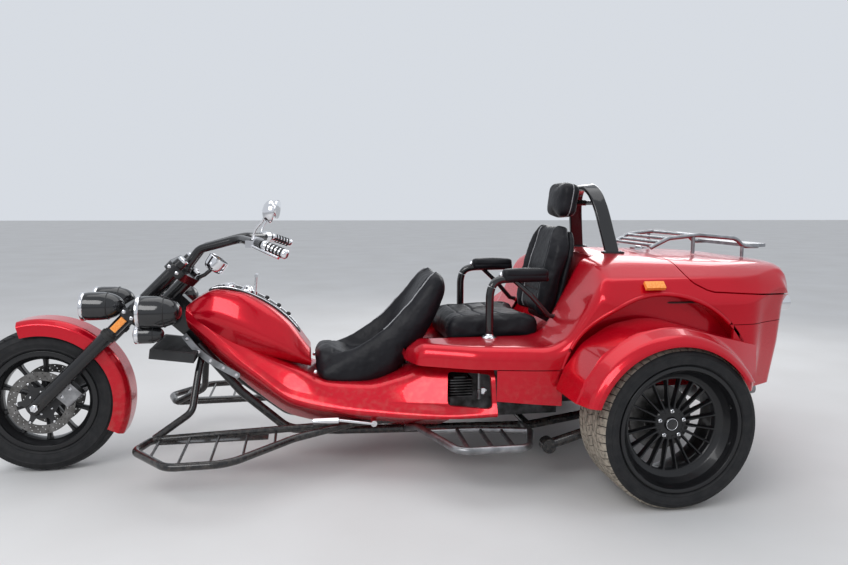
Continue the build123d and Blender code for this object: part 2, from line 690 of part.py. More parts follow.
def make_rear_tyre():
    """The left rear tyre."""
    bead, side, tread = REAR_RIM_R, REAR_TYRE_HALF, REAR_TYRE_R
    half = [(bead - 15.5, side - 15.5, 0), (bead + 2, side - 15.5, 0), (bead + 19, side - 3, 12),
            (tread - 30, side, 15), (tread - 8, side - 12, 14), (tread, side - 32, 25)]
    rows = ([(r, -REAR_WHEEL_Y - y, c) for r, y, c in half]
            + [(r, -REAR_WHEEL_Y + y, c) for r, y, c in reversed(half)])
    return turned(rows, REAR_AXLE_X, REAR_TYRE_R)


def fender_volume(inset):
    """The left mudguard's volume: a side, a plan and a turned outline, all drawn in by a wall."""
    side, plan = outline(FENDER_SIDE, side_plane(-1000)), outline(FENDER_PLAN, Plane.XY.offset(200))
    if inset:
        side, plan = offset(side, amount=-inset), offset(plan, amount=-inset)
    band = revolve(rounded([(radius - inset, y + inset, corner) for radius, y, corner in FENDER_BAND]),
                   Axis.Y)
    return (extrude(side, amount=500, dir=(0, 1, 0)) & extrude(plan, amount=600, dir=(0, 0, 1))
            & Pos(FENDER_X, 0, REAR_TYRE_R) * band)


def make_rear_fenders():
    """Both rear mudguards: a shell with a flat crown, a sloping outer band and a ducktail."""
    guard = fender_volume(0) - fender_volume(FENDER_WALL)
    guard -= (Pos(FENDER_X, -REAR_WHEEL_Y, REAR_TYRE_R) * Rot(90, 0, 0)
              * Cylinder(FENDER_EDGE_R, 400))
    guard -= slab_y([(560, 200, 0), (560, 437, 0), (900, 437, 0), (1290, 532, 0), (1500, 452, 0),
                     (1500, 200, 0)], -1000, -500)
    for angle in (62, 112):
        at = radians(angle)
        x, z = FENDER_X + FENDER_POST_R * cos(at), REAR_TYRE_R + FENDER_POST_R * sin(at)
        guard += rod((x, -FENDER_INNER_Y - 4, z), (x, -WELL_WALL_Y, z), 12)
    return both(guard)


def make_roll_hoop():
    """The wide flat hoop behind the headrest."""
    lean = atan2(60, 340)
    plane = Plane(origin=(1037, 0, 960), x_dir=(0, 1, 0), z_dir=(cos(lean), 0, sin(lean)))
    outer = outline([(-285, 0, 0), (-150, 348, 60), (150, 348, 60), (285, 0, 0)], plane)
    inner = outline([(-258, -5, 0), (-130, 320, 40), (130, 320, 40), (258, -5, 0)], plane)
    hoop = extrude(outer, amount=34, both=True) - extrude(inner, amount=40, both=True)
    hoop += rod((994, -172, 1212), (994, 172, 1212), 11) + rod((994, 0, 1212), (905, 0, 1212), 14)
    for y in (-271, 271):
        hoop += block(990, 1085, y - 28, y + 28, 955, 994)
    return hoop - OUTER


def make_passenger_seat():
    """The passenger's cushion."""
    side = [(240, 695, 40), (590, 660, 50), (640, 640, 10), (640, 549, 10), (232, 549, 30)]
    cushion = slab_y(side, -256, 256)
    return cushion


def make_passenger_backrest():
    """The passenger's backrest."""
    side = [(541, 705, 10), (662, 1078, 45), (765, 1138, 35), (864, 1108, 40), (712, 650, 30),
            (660, 600, 20), (600, 640, 10)]
    return slab_y(side, -228, 228)


def make_headrest():
    """The headrest."""
    pad = Pos(850, 0, 1222) * Rot(0, 8, 0) * Box(100, 262, 178)
    return fillet(pad.edges(), 34)


def make_armrests():
    """The bent armrest tubes with their feet and braces."""
    tube = tube_along([(424, -ARM_Y, 596), (424, -ARM_Y, 800), (470, 12 - ARM_Y, 868),
                       (706, 16 - ARM_Y, 872)], ARM_TUBE_R, [60, 50])
    tube += rod((424, -ARM_Y, 596), (424, -ARM_Y, 612), 34)
    tube += rod((540, -288, 866), (700, -300, 700), 9) + rod((700, -300, 700), (742, -300, 690), 12)
    return both(tube - OUTER)


def make_armrest_pads(arms):
    """The armrest pads."""
    pad = Pos(595, 14 - ARM_Y, 890) * Box(232, 64, 40)
    return both(fillet(pad.edges(), 16) - arms)


def make_footboards(frame, tub):
    """The driver's footboards: tube loops with rungs, a tread strip and front struts."""
    z = FOOT_Z
    loop = tube_along([(70, -262, z + 36), (-300, -250, z + 15), (-1046, -286, z), (-1090, -420, z),
                       (-930, -622, z), (-700, -628, z + 4), (-450, -395, z + 12),
                       (-190, -262, z + 22)], FOOT_TUBE_R, [300, 50, 60, 80, 160, 160])
    for x, y_out in [(-1010, 500), (-890, 612), (-770, 612), (-650, 575), (-530, 462)]:
        loop += rod((x, -278, z + 4), (x, -y_out, z + 3), 6)
    loop += block(-1020, -560, -352, -296, z - 2, z + 4)
    strut = tube_along([(-858, -51, 535), (-872, -120, 455), (-893, -200, 290),
                        (-1040, -280, z + 2)], FOOT_TUBE_R, [60, 70])
    return both(loop + strut) - frame - tub


def make_passenger_footrests(frame, tub):
    """The passenger's footrests: ladder loops under the sills."""
    z = REST_Z
    loop = tube_along([(60, -200, RAIL_Z + 6), (90, -330, z), (210, -668, z), (500, -672, z),
                       (560, -500, z + 7), (600, -236, RAIL_Z + 8)], FOOT_TUBE_R, [60, 70, 60, 60])
    loop += tube_along([(112, -400, z), (330, -440, z + 11), (560, -480, z + 7)], 12, [300])
    for x in (250, 350, 440):
        loop += rod((x, -430, z + 7), (x, -668, z), 10)
    return both(loop) - frame - tub


def make_parking_lever(tub):
    """The hand lever low on the left side."""
    lever = rod((-368, -330, 262), (-258, -352, 268), 13)
    lever += rod((-258, -352, 268), (-105, -352, 244), 6)
    lever += rod((-105, -352, 244), (-105, -300, 250), 14)
    return lever - tub


def make_shift_lever(cowl, trim):
    """The gear lever on top of the cowl, with a cross knob."""
    lever = rod((-628, 0, 770), (-618, 0, 870), 6) + rod((-618, -30, 870), (-618, 30, 870), 8)
    lever += rod((-632, 0, 760), (-629, 0, 796), 16)
    return lever - cowl - trim


def make_tail_lamps():
    """Round tail lamps, two on each side."""
    lamps = None
    for y, x in ((-395, 1838), (-300, 1850)):
        lamp = rod((1780, y, 752), (x, y, 752), 38)
        lamps = lamp if lamps is None else lamps + lamp
    return both(lamps)


def make_side_markers():
    """Amber markers on the shoulders over the wheels."""
    return both((Pos(1045, -632, 870) * Rot(-45, 0, 0) * Box(86, 16, 36)) - OUTER)


def make_plate_bracket():
    """The number plate's carrier, with four screw holes."""
    plate = block(1856, 1860, -150, 150, 540, 680)
    for y in (-100, 100):
        for z in (560, 660):
            plate -= Pos(1858, y, z) * Rot(0, 90, 0) * Cylinder(3.5, 10)
    stands = block(1790, 1857, -70, -40, 590, 630) + block(1790, 1857, 40, 70, 590, 630)
    return plate + (stands - OUTER)


def make_luggage_rack():
    """The rack on the lid: two rails on posts, with cross bars and a rear shelf."""
    rail = tube_along([(1242, 17 - RACK_Y, 998), (1330, 7 - RACK_Y, 1044), (1480, -RACK_Y, 1060),
                       (1680, -RACK_Y, 1042), (1722, -RACK_Y, 1004), (1800, -RACK_Y, 1004)],
                      RACK_TUBE_R, [60, 200, 60, 50])
    for x, z in ((1455, 1058), (1716, 1004)):
        rail += rod((x, -RACK_Y, z), (x, -RACK_Y, RACK_POST_FOOT_Z), RACK_BAR_R)
    rack = both(rail)
    for x, z, half in ((1262, 1009, 206), (1292, 1024, 209), (1330, 1042, 214), (1480, 1057, 221),
                       (1620, 1047, 221)):
        rack += rod((x, -half, z), (x, half, z), RACK_BAR_R)
    shelf = slab_z([(1745, -236, 20), (1862, -215, 40), (1862, 215, 40), (1745, 236, 20)], 1000, 1016)
    return (rack + shelf) - OUTER


FRAME = make_frame()
COWL = make_cowl() - FRAME
SEAT = make_driver_seat()
TUB = make_body_tub(COWL, SEAT) - FRAME
TRIM = make_cowl_trim(COWL)
ENGINE = make_engine()
LEGS = make_fork_legs()
FRONT_LAMPS = make_front_lamps()
STEM = make_steering_stem(LEGS, FRONT_LAMPS)
UPPER_CLAMP = make_upper_clamp(LEGS, STEM)
HANDLEBAR = make_handlebar(UPPER_CLAMP, STEM)
LEVERS = make_levers(HANDLEBAR)
FRONT_WHEEL = make_front_wheel()
REAR_WHEEL = make_rear_wheel()
REAR_TYRE = make_rear_tyre()
REAR_AXLE = make_rear_axle(FRAME)
BACKREST = make_passenger_backrest()
ARMRESTS = make_armrests()
TAIL_LAMPS = make_tail_lamps()
REAR_BODY = make_rear_body() - TAIL_LAMPS - SEAT

PIECES = {
    "frame": FRAME,
    "body_tub": TUB,
    "tank_cowl": COWL,
    "cowl_trim": TRIM,
    "shift_lever": make_shift_lever(COWL, TRIM),
    "rear_body": REAR_BODY,
    "side_panels": make_side_panels(),
    "rear_skirt": make_rear_skirt() - FRAME,
    "trunk_tub": make_trunk_tub(),
    "rear_fenders": make_rear_fenders(),
    "driver_seat": SEAT,
    "passenger_seat": make_passenger_seat() - BACKREST,
    "passenger_backrest": BACKREST,
    "headrest": make_headrest(),
    "roll_hoop": make_roll_hoop(),
    "armrests": ARMRESTS,
    "armrest_pads": make_armrest_pads(ARMRESTS),
    "footboards": make_footboards(FRAME, TUB),
    "passenger_footrests": make_passenger_footrests(FRAME, TUB),
    "engine": ENGINE - FRAME,
    "rear_axle": REAR_AXLE,
    "rear_shocks": make_rear_shocks(REAR_AXLE),
    "exhaust": make_exhaust(ENGINE),
    "radiator": make_radiator(FRAME, TUB),
    "parking_lever": make_parking_lever(TUB),
    "side_lamps": make_side_lamps(FRAME),
    "tail_lamps": TAIL_LAMPS,
    "side_markers": make_side_markers(),
    "plate_bracket": make_plate_bracket(),
    "steering_stem": STEM,
    "upper_clamp": UPPER_CLAMP,
    "fork_legs": LEGS,
    "front_fender": make_front_fender(LEGS),
    "handlebar": HANDLEBAR,
    "grips": make_grips(HANDLEBAR, LEVERS),
    "levers": LEVERS,
    "mirrors": make_mirrors(LEVERS, HANDLEBAR),
    "speedometer": make_speedometer(UPPER_CLAMP),
    "front_lamps": FRONT_LAMPS,
    "fork_reflectors": make_fork_reflectors(LEGS),
    "calipers": make_calipers(LEGS),
    "front_wheel": FRONT_WHEEL,
    "front_tyre": make_front_tyre(),
    "brake_discs": make_brake_discs(FRONT_WHEEL),
    "rear_wheel_left": REAR_WHEEL,
    "rear_wheel_right": right_of(REAR_WHEEL),
    "rear_tyre_left": REAR_TYRE,
    "rear_tyre_right": right_of(REAR_TYRE),
    "lid_hinges": make_lid_hinges(),
    "trunk_lid": make_trunk_lid(),
    "luggage_rack": make_luggage_rack(),
}

os.makedirs("parts", exist_ok=True)
for node, shape in PIECES.items():
    export_step(shape, f"parts/{node}.step")
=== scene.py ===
"""The look of the motorized trike: finishes, smooth body panels, seats, tread, bolts and trim.

Metres, in the CAD frame: the front is towards -X, +Y is the vehicle's right and +Z is up.
"""
import json
import math

import bmesh
import bpy
from mathutils import Matrix, Vector, noise
from mathutils.bvhtree import BVHTree
from mathutils.kdtree import KDTree


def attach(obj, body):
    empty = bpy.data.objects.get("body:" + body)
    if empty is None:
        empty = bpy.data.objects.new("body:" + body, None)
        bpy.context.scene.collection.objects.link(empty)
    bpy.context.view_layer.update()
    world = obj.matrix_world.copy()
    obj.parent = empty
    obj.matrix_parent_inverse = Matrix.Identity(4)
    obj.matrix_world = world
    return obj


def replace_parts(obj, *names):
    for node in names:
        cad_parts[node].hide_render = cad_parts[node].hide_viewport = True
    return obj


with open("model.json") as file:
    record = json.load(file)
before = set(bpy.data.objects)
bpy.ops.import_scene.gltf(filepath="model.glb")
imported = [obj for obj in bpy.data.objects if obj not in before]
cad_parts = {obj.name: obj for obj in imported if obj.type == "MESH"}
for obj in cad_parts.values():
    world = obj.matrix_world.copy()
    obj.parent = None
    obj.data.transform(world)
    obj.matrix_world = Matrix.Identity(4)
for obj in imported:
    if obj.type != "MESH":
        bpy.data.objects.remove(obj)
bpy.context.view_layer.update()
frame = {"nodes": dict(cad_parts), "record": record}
nodes = frame["nodes"]

SIDES = ((-1, "left"), (1, "right"))
UP, DOWN, REARWARD = Vector((0, 0, 1)), Vector((0, 0, -1)), Vector((1, 0, 0))


# Materials


class Finish:
    """A procedural material under construction: its node tree and its shader."""

    def __init__(self, name, colour, roughness, metallic=0.0, **sockets):
        self.material = bpy.data.materials.new(name)
        self.material.use_nodes = True
        self.tree = self.material.node_tree
        self.shader = self.tree.nodes["Principled BSDF"]
        self.set("Base Color", (*colour, 1.0))
        self.set("Roughness", roughness)
        self.set("Metallic", metallic)
        for socket, value in sockets.items():
            self.set(socket.replace("_", " "), value)
        self.last_bump = None

    def set(self, socket, value):
        """Sets one of the shader's own sockets."""
        self.shader.inputs[socket].default_value = value

    def node(self, kind, **values):
        """Adds a node and sets its properties, or its inputs by name."""
        node = self.tree.nodes.new("ShaderNode" + kind)
        for key, value in values.items():
            if key in node.inputs:
                node.inputs[key].default_value = value
            else:
                setattr(node, key, value)
        return node

    def link(self, source, output, target, socket):
        """Links two sockets."""
        self.tree.links.new(source.outputs[output], target.inputs[socket])

    def place(self):
        """The object's own coordinates, which stay put when a body moves."""
        return self.node("TexCoord"), "Object"

    def noise(self, scale, detail, stretch=(1, 1, 1)):
        """A noise field over the object, as (node, output)."""
        where, output = self.place()
        if stretch != (1, 1, 1):
            mapping = self.node("Mapping")
            mapping.inputs["Scale"].default_value = stretch
            self.link(where, output, mapping, "Vector")
            where, output = mapping, "Vector"
        field = self.node("TexNoise", Scale=scale, Detail=detail)
        self.link(where, output, field, "Vector")
        return field, "Fac"

    def cells(self, scale, output="Distance"):
        """A Voronoi field over the object, as (node, output)."""
        where, place = self.place()
        field = self.node("TexVoronoi", Scale=scale)
        self.link(where, place, field, "Vector")
        return field, output

    def ramp(self, field, stops):
        """A colour ramp on a field, from (position, colour) stops."""
        ramp = self.node("ValToRGB")
        elements = ramp.color_ramp.elements
        while len(elements) < len(stops):
            elements.new(0.5)
        for element, (position, colour) in zip(elements, stops):
            element.position = position
            element.color = (*colour, 1.0)
        self.link(*field, ramp, "Fac")
        return ramp, "Color"

    def range(self, field, low, high, source=(0.0, 1.0)):
        """A field mapped linearly to a low and a high value."""
        mapped = self.node("MapRange")
        mapped.inputs["From Min"].default_value = source[0]
        mapped.inputs["From Max"].default_value = source[1]
        mapped.inputs["To Min"].default_value = low
        mapped.inputs["To Max"].default_value = high
        self.link(*field, mapped, "Value")
        return mapped, "Result"

    def mix_colours(self, factor, first, second):
        """Two colours, each a plain one or a field, mixed by a field."""
        mix = self.node("Mix", data_type="RGBA")
        self.link(*factor, mix, 0)
        for socket, colour in ((6, first), (7, second)):
            if isinstance(colour[0], (int, float)):
                mix.inputs[socket].default_value = (*colour, 1.0)
            else:
                self.tree.links.new(colour[0].outputs[colour[1]], mix.inputs[socket])
        return mix, 2

    def low_down(self, low, high):
        """A field that is 1 below a height and 0 above another, for road dust."""
        where, output = self.place()
        parts = self.node("SeparateXYZ")
        self.link(where, output, parts, "Vector")
        return self.range((parts, "Z"), 1.0, 0.0, (low, high))

    def times(self, first, second):
        """The product of two fields."""
        product = self.node("Math", operation="MULTIPLY")
        self.link(*first, product, 0)
        self.link(*second, product, 1)
        return product, 0

    def bump(self, field, distance, strength):
        """Bump from a field, on top of any earlier bump."""
        bump = self.node("Bump", Strength=strength, Distance=distance)
        self.link(*field, bump, "Height")
        if self.last_bump is not None:
            self.link(self.last_bump, "Normal", bump, "Normal")
        self.last_bump = bump
        self.link(bump, "Normal", self.shader, "Normal")

    def vary(self, socket, field):
        """Drives one of the shader's sockets from a field."""
        self.link(*field, self.shader, socket)

    def mottle(self, scale, detail, dark, light, low=0.3, high=0.8):
        """Varies the colour between two colours over a noise."""
        self.vary("Base Color", self.ramp(self.noise(scale, detail), [(low, dark), (high, light)]))

    def wear(self, scale, detail, low, high):
        """Varies the roughness over a noise."""
        self.vary("Roughness", self.range(self.noise(scale, detail), low, high))

    def grain(self, scale, detail, depth, strength):
        """Bump from a noise."""
        self.bump(self.noise(scale, detail), depth, strength)


def red_paint():
    """Deep cherry gloss under a clear coat, with a little road dust low down."""
    paint = Finish("red_paint", (0.55, 0.002, 0.014), 0.26, 0.45, Coat_Weight=0.55,
                   Coat_Roughness=0.02, Coat_IOR=1.45, Specular_IOR_Level=0.2)
    flake = paint.cells(2600, "Color")
    tint = paint.mix_colours(paint.range(paint.noise(2.2, 2.0), 0.0, 1.0, (0.35, 0.7)),
                             (0.58, 0.002, 0.016), (0.50, 0.002, 0.012))
    dust = paint.times(paint.low_down(0.15, 0.62), paint.range(paint.noise(38, 5.0), 0.0, 0.3, (0.45, 0.8)))
    paint.vary("Base Color", paint.mix_colours(dust, tint, (0.32, 0.22, 0.17)))
    paint.vary("Roughness", paint.range(flake, 0.2, 0.3))
    paint.bump(paint.noise(420, 2.0), 0.00002, 0.25)
    return paint.material


def gloss_black(name="black_paint", roughness=0.22, coat=0.5, dust=0.55):
    """Gloss black powder coat with fine orange peel and dust low down."""
    paint = Finish(name, (0.008, 0.008, 0.009), roughness, 0.0, Coat_Weight=coat, Coat_Roughness=0.06,
                   Specular_IOR_Level=0.3)
    dirt = paint.range(paint.noise(55, 6.0), 0.0, dust, (0.4, 0.85))
    patches = paint.times(paint.low_down(0.05, 0.45), dirt)
    paint.vary("Base Color", paint.mix_colours(patches, (0.008, 0.008, 0.009), (0.17, 0.14, 0.115)))
    paint.wear(24, 4.0, roughness - 0.06, roughness + 0.12)
    paint.grain(600, 2.0, 0.00003, 0.35)
    return paint.material


def chrome():
    """Mirror chrome with a breath of haze."""
    metal = Finish("chrome", (0.78, 0.78, 0.80), 0.07, 1.0)
    metal.wear(30, 5.0, 0.04, 0.16)
    metal.mottle(9, 3.0, (0.70, 0.70, 0.72), (0.84, 0.84, 0.86))
    return metal.material


def worn_steel(name="grey_steel", colour=(0.36, 0.36, 0.37)):
    """Bare steel, brushed and dulled by the road."""
    metal = Finish(name, colour, 0.34, 1.0)
    metal.mottle(26, 6.0, tuple(0.55 * part for part in colour), colour, 0.35, 0.7)
    metal.wear(90, 4.0, 0.24, 0.5)
    metal.bump(metal.noise(900, 2.0, (1, 6, 6)), 0.00003, 0.3)
    return metal.material


def disc_steel():
    """Dark brake steel with heat marks."""
    metal = Finish("disc_steel", (0.16, 0.16, 0.165), 0.38, 1.0)
    metal.mottle(34, 4.0, (0.10, 0.095, 0.09), (0.23, 0.225, 0.22), 0.3, 0.75)
    metal.wear(120, 3.0, 0.28, 0.5)
    return metal.material


def engine_metal():
    """Dull castings with oil and dirt in the hollows."""
    metal = Finish("engine_metal", (0.10, 0.10, 0.105), 0.55, 0.8)
    metal.mottle(18, 6.0, (0.03, 0.028, 0.026), (0.17, 0.17, 0.175), 0.35, 0.7)
    metal.wear(60, 4.0, 0.4, 0.75)
    metal.grain(220, 5.0, 0.0004, 0.5)
    return metal.material


def matt_plastic():
    """Matt black moulding with a fine grain."""
    plastic = Finish("dark_plastic", (0.018, 0.018, 0.019), 0.55)
    plastic.mottle(14, 4.0, (0.014, 0.014, 0.015), (0.028, 0.028, 0.029))
    plastic.bump(plastic.cells(1500), 0.00006, 0.5)
    return plastic.material


def vinyl():
    """Black seat vinyl with a leather grain and soft creases."""
    skin = Finish("black_vinyl", (0.008, 0.008, 0.010), 0.42, 0.0, Specular_IOR_Level=0.2)
    skin.mottle(7, 4.0, (0.006, 0.006, 0.008), (0.012, 0.012, 0.015))
    skin.wear(16, 4.0, 0.34, 0.55)
    skin.grain(22, 2.0, 0.0022, 0.25)
    skin.bump(skin.cells(520), 0.00022, 0.55)
    return skin.material


def tyre_rubber():
    """Tyre rubber, black with a bluish bloom."""
    rubber = Finish("tyre", (0.013, 0.0135, 0.015), 0.7, 0.0, Specular_IOR_Level=0.3)
    rubber.mottle(28, 6.0, (0.009, 0.0095, 0.011), (0.022, 0.0215, 0.022))
    rubber.wear(60, 3.0, 0.55, 0.82)
    rubber.grain(380, 4.0, 0.0002, 0.6)
    return rubber.material


def dusty_tread():
    """The rear tread's face: pale road dust worn into the rubber."""
    rubber = Finish("dusty_tread", (0.28, 0.245, 0.195), 0.9)
    dust = rubber.ramp(rubber.noise(60, 6.0), [(0.30, (0.10, 0.088, 0.07)), (0.48, (0.27, 0.235, 0.19)),
                                               (0.75, (0.40, 0.35, 0.28))])
    rubber.vary("Base Color", dust)
    rubber.grain(420, 4.0, 0.0003, 0.6)
    return rubber.material


def soft_rubber():
    """Matt black rubber for grips and pads."""
    rubber = Finish("black_rubber", (0.016, 0.016, 0.016), 0.7)
    rubber.wear(40, 3.0, 0.55, 0.8)
    rubber.grain(500, 3.0, 0.0001, 0.5)
    return rubber.material


def lens(name, colour, painted_glint):
    """A moulded lens with ribs that show through its gloss, and painted glints: its colour goes lighter at
    the edges of its facets.
    """
    glass = Finish(name, colour, 0.12, 0.0, Coat_Weight=0.6, Coat_Roughness=0.04)
    # painted glints: the colour goes from the lens colour at the middle of each facet to a lighter one at its
    # edges
    glass.vary("Base Color", glass.ramp(glass.cells(150), [(0.0, colour), (0.9, painted_glint)]))
    glass.bump(glass.cells(150), 0.0006, 0.4)
    return glass.material


def clear_lens():
    """Ribbed lamp glass over a bright reflector, with painted light and shade in bands along its ribs."""
    glass = Finish("lamp_glass", (0.72, 0.75, 0.78), 0.08, 0.85, Coat_Weight=1.0, Coat_Roughness=0.02)
    ribs_and_painted_bands = glass.node("TexWave", Scale=26.0, Distortion=0.4)
    where, output = glass.place()
    glass.link(where, output, ribs_and_painted_bands, "Vector")
    # painted light and shade: the colour goes from dark to bright in bands along the ribs, which also drive
    # the bump
    glass.vary("Base Color", glass.ramp((ribs_and_painted_bands, "Fac"), [(0.2, (0.42, 0.45, 0.48)), (0.8, (0.85, 0.87, 0.9))]))
    glass.bump((ribs_and_painted_bands, "Fac"), 0.0012, 0.6)
    return glass.material


def welt_vinyl():
    """Light grey piping."""
    skin = Finish("grey_welt", (0.30, 0.30, 0.31), 0.4, 0.0, Specular_IOR_Level=0.4)
    skin.mottle(40, 3.0, (0.22, 0.22, 0.23), (0.38, 0.38, 0.39))
    skin.grain(300, 2.0, 0.0001, 0.4)
    return skin.material


def mirror_glass():
    """Silvered glass."""
    glass = Finish("mirror_glass", (0.86, 0.88, 0.90), 0.02, 1.0)
    glass.wear(12, 2.0, 0.01, 0.05)
    return glass.material


def plate_paint():
    """The paint of the bare plate, pale and a little dusty."""
    plate = Finish("blank_plate", (0.62, 0.62, 0.60), 0.4)
    plate.mottle(22, 4.0, (0.55, 0.55, 0.53), (0.68, 0.68, 0.66))
    plate.grain(300, 2.0, 0.00005, 0.3)
    return plate.material


PIPING = welt_vinyl()
RED = red_paint()
BLACK = gloss_black()
CHROME = chrome()
STEEL = worn_steel()
VINYL = vinyl()
RUBBER = soft_rubber()
TREAD = dusty_tread()
AMBER = lens("amber_lens", (0.85, 0.20, 0.015), (1.0, 0.42, 0.08))
SLOTS = {
    "red_paint": RED,
    "black_paint": BLACK,
    "lamp_black": gloss_black("lamp_black", 0.14, 0.8, 0.0),
    "wheel_black": gloss_black("wheel_black", 0.3, 0.25, 0.0),
    "chrome": CHROME,
    "grey_steel": STEEL,
    "disc_steel": disc_steel(),
    "lamp_glass": clear_lens(),
    "mirror_glass": mirror_glass(),
    "blank_plate": plate_paint(),
    "rack_grey": worn_steel("rack_grey", (0.42, 0.43, 0.45)),
    "engine_metal": engine_metal(),
    "dark_plastic": matt_plastic(),
    "black_vinyl": VINYL,
    "black_rubber": RUBBER,
    "tyre": tyre_rubber(),
    "red_lens": lens("red_lens", (0.45, 0.008, 0.008), (0.8, 0.05, 0.03)),
    "amber_lens": AMBER,
}

for part in frame["record"]["subparts"]:
    mesh = nodes[part["node"]].data
    mesh.materials.clear()
    mesh.materials.append(SLOTS[part["material_slot"]])


# Mesh helpers


def link_piece(name, mesh, body, material, smooth_angle=None):
    """Puts a mesh in the scene as a piece that rides on a body."""
    piece = bpy.data.objects.new(name, mesh)
    bpy.context.scene.collection.objects.link(piece)
    mesh.materials.clear()
    mesh.materials.append(material)
    if smooth_angle is not None:
        shade(mesh, smooth_angle)
    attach(piece, body)
    return piece


def shade(mesh, angle):
    """Smooth shading with sharp edges over an angle in degrees."""
    mesh.polygons.foreach_set("use_smooth", [True] * len(mesh.polygons))
    mesh.set_sharp_from_angle(angle=math.radians(angle))


def grid_mesh(name, rows, close_rows=False, close_columns=False, caps=False):
    """A quad mesh through rows of points, all of one length."""
    mesh = bpy.data.meshes.new(name)
    across = len(rows[0])
    points = [point for row in rows for point in row]
    faces = []
    for i in range(len(rows) - (0 if close_rows else 1)):
        following = (i + 1) % len(rows)
        for j in range(across - (0 if close_columns else 1)):
            beside = (j + 1) % across
            faces.append((i * across + j, i * across + beside, following * across + beside,
                          following * across + j))
    if caps:
        faces.append(tuple(range(across - 1, -1, -1)))
        faces.append(tuple(range((len(rows) - 1) * across, len(rows) * across)))
    mesh.from_pydata(points, [], faces)
    mesh.update()
    return mesh


def tidy_normals(mesh):
    """Welds doubles and turns all faces outwards."""
    work = bmesh.new()
    work.from_mesh(mesh)
    bmesh.ops.remove_doubles(work, verts=work.verts, dist=0.00005)
    bmesh.ops.recalc_face_normals(work, faces=work.faces)
    work.to_mesh(mesh)
    work.free()


def apply_modifiers(piece):
    """Replaces a piece's mesh by the one its modifiers make."""
    graph = bpy.context.evaluated_depsgraph_get()
    graph.update()
    made = bpy.data.meshes.new_from_object(piece.evaluated_get(graph))
    piece.modifiers.clear()
    piece.data = made


def temporary(mesh):
    """An object for a cutter, which is removed after its use."""
    cutter = bpy.data.objects.new("cutter", mesh)
    bpy.context.scene.collection.objects.link(cutter)
    return cutter


def closed(mesh):
    """A copy of an open mesh with its holes filled."""
    work = bmesh.new()
    work.from_mesh(mesh)
    rim = [edge for edge in work.edges if edge.is_boundary]
    bmesh.ops.holes_fill(work, edges=rim, sides=0)
    bmesh.ops.triangulate(work, faces=[face for face in work.faces if len(face.verts) > 4])
    bmesh.ops.recalc_face_normals(work, faces=work.faces)
    whole = bpy.data.meshes.new("whole")
    work.to_mesh(whole)
    work.free()
    return whole


def ring_mesh(name, rows):
    """A closed mesh through rows that are rings, with both its ends capped."""
    mesh = grid_mesh(name, rows, close_columns=True, caps=True)
    tidy_normals(mesh)
    return mesh


def ray_tree(mesh):
    """A search tree for rays that meet a mesh."""
    return BVHTree.FromPolygons([vertex.co for vertex in mesh.vertices],
                                [polygon.vertices for polygon in mesh.polygons])


def bead(name, points, radius, body, material, ring, loop=False):
    """A round bead or tube along points, with flat ends, or a ring if it is a loop."""
    rows = []
    count = len(points)
    for i, point in enumerate(points):
        here = Vector(point)
        before = Vector(points[(i - 1) % count if loop else max(i - 1, 0)])
        after = Vector(points[(i + 1) % count if loop else min(i + 1, count - 1)])
        along = (after - before).normalized()
        side = along.cross(UP if abs(along.z) < 0.9 else REARWARD).normalized()
        over = side.cross(along)
        rows.append([here + side * radius * math.cos(turn) + over * radius * math.sin(turn)
                     for turn in (2 * math.pi * k / ring for k in range(ring))])
    mesh = grid_mesh(name, rows, close_rows=loop, close_columns=True, caps=not loop)
    tidy_normals(mesh)
    return link_piece(name, mesh, body, material, 60)


def cut(piece, mesh, operation="DIFFERENCE"):
    """Applies a boolean with a closed mesh."""
    cutter = temporary(mesh)
    boolean = piece.modifiers.new("cut", "BOOLEAN")
    boolean.operation = operation
    boolean.solver = "EXACT"
    boolean.object = cutter
    apply_modifiers(piece)
    bpy.data.objects.remove(cutter)


def thicken(piece, thickness):
    """Gives an open surface a wall, inwards."""
    wall = piece.modifiers.new("wall", "SOLIDIFY")
    wall.thickness = thickness
    wall.offset = -1.0
    wall.use_even_offset = False
    apply_modifiers(piece)


def prism_mesh(outline, low, high, axis):
    """A closed prism of a flat outline along an axis, 0 for X, 1 for Y and 2 for Z."""
    rows = []
    for level in (low, high):
        row = []
        for first, second in outline:
            place = [first, second]
            place.insert(axis, level)
            row.append(tuple(place))
        rows.append(row)
    return ring_mesh("prism", rows)


def rounded_line(corners, closed=False, arc_steps=6, run_steps=2):
    """Points along a line of (first, second, radius) corners, always the same number for a table."""
    count = len(corners)
    places = [Vector(corner[:2]) for corner in corners]
    starts, ends = [], []
    for i, here in enumerate(places):
        if not closed and i in (0, count - 1):
            starts.append(here)
            ends.append(here)
            continue
        before = places[i - 1] - here
        after = places[(i + 1) % count] - here
        reach = 0.0
        if before.length > 1e-9 and after.length > 1e-9:
            turn = math.pi - before.angle(after)
            reach = min(corners[i][2] * math.tan(turn / 2), 0.48 * before.length, 0.48 * after.length)
        starts.append(here + before.normalized() * reach if reach else here)
        ends.append(here + after.normalized() * reach if reach else here)
    points = []
    for i in range(count):
        if closed or i not in (0, count - 1):
            for step in range(arc_steps + 1):
                t = step / arc_steps
                points.append(starts[i].lerp(places[i], t).lerp(places[i].lerp(ends[i], t), t))
        else:
            points.append(places[i])
        if i < count - 1 or closed:
            following = starts[(i + 1) % count]
            for step in range(1, run_steps + 1):
                points.append(ends[i].lerp(following, step / (run_steps + 1)))
    return points


def rounded_rectangle(low, high, radius, far_radius=None, arc_steps=4, run_steps=1):
    """The outline of a rectangle; far_radius rounds the corners on its high first side."""
    far = radius if far_radius is None else far_radius
    corners = [(low[0], low[1], radius), (high[0], low[1], far), (high[0], high[1], far),
               (low[0], high[1], radius)]
    return rounded_line(corners, True, arc_steps, run_steps)


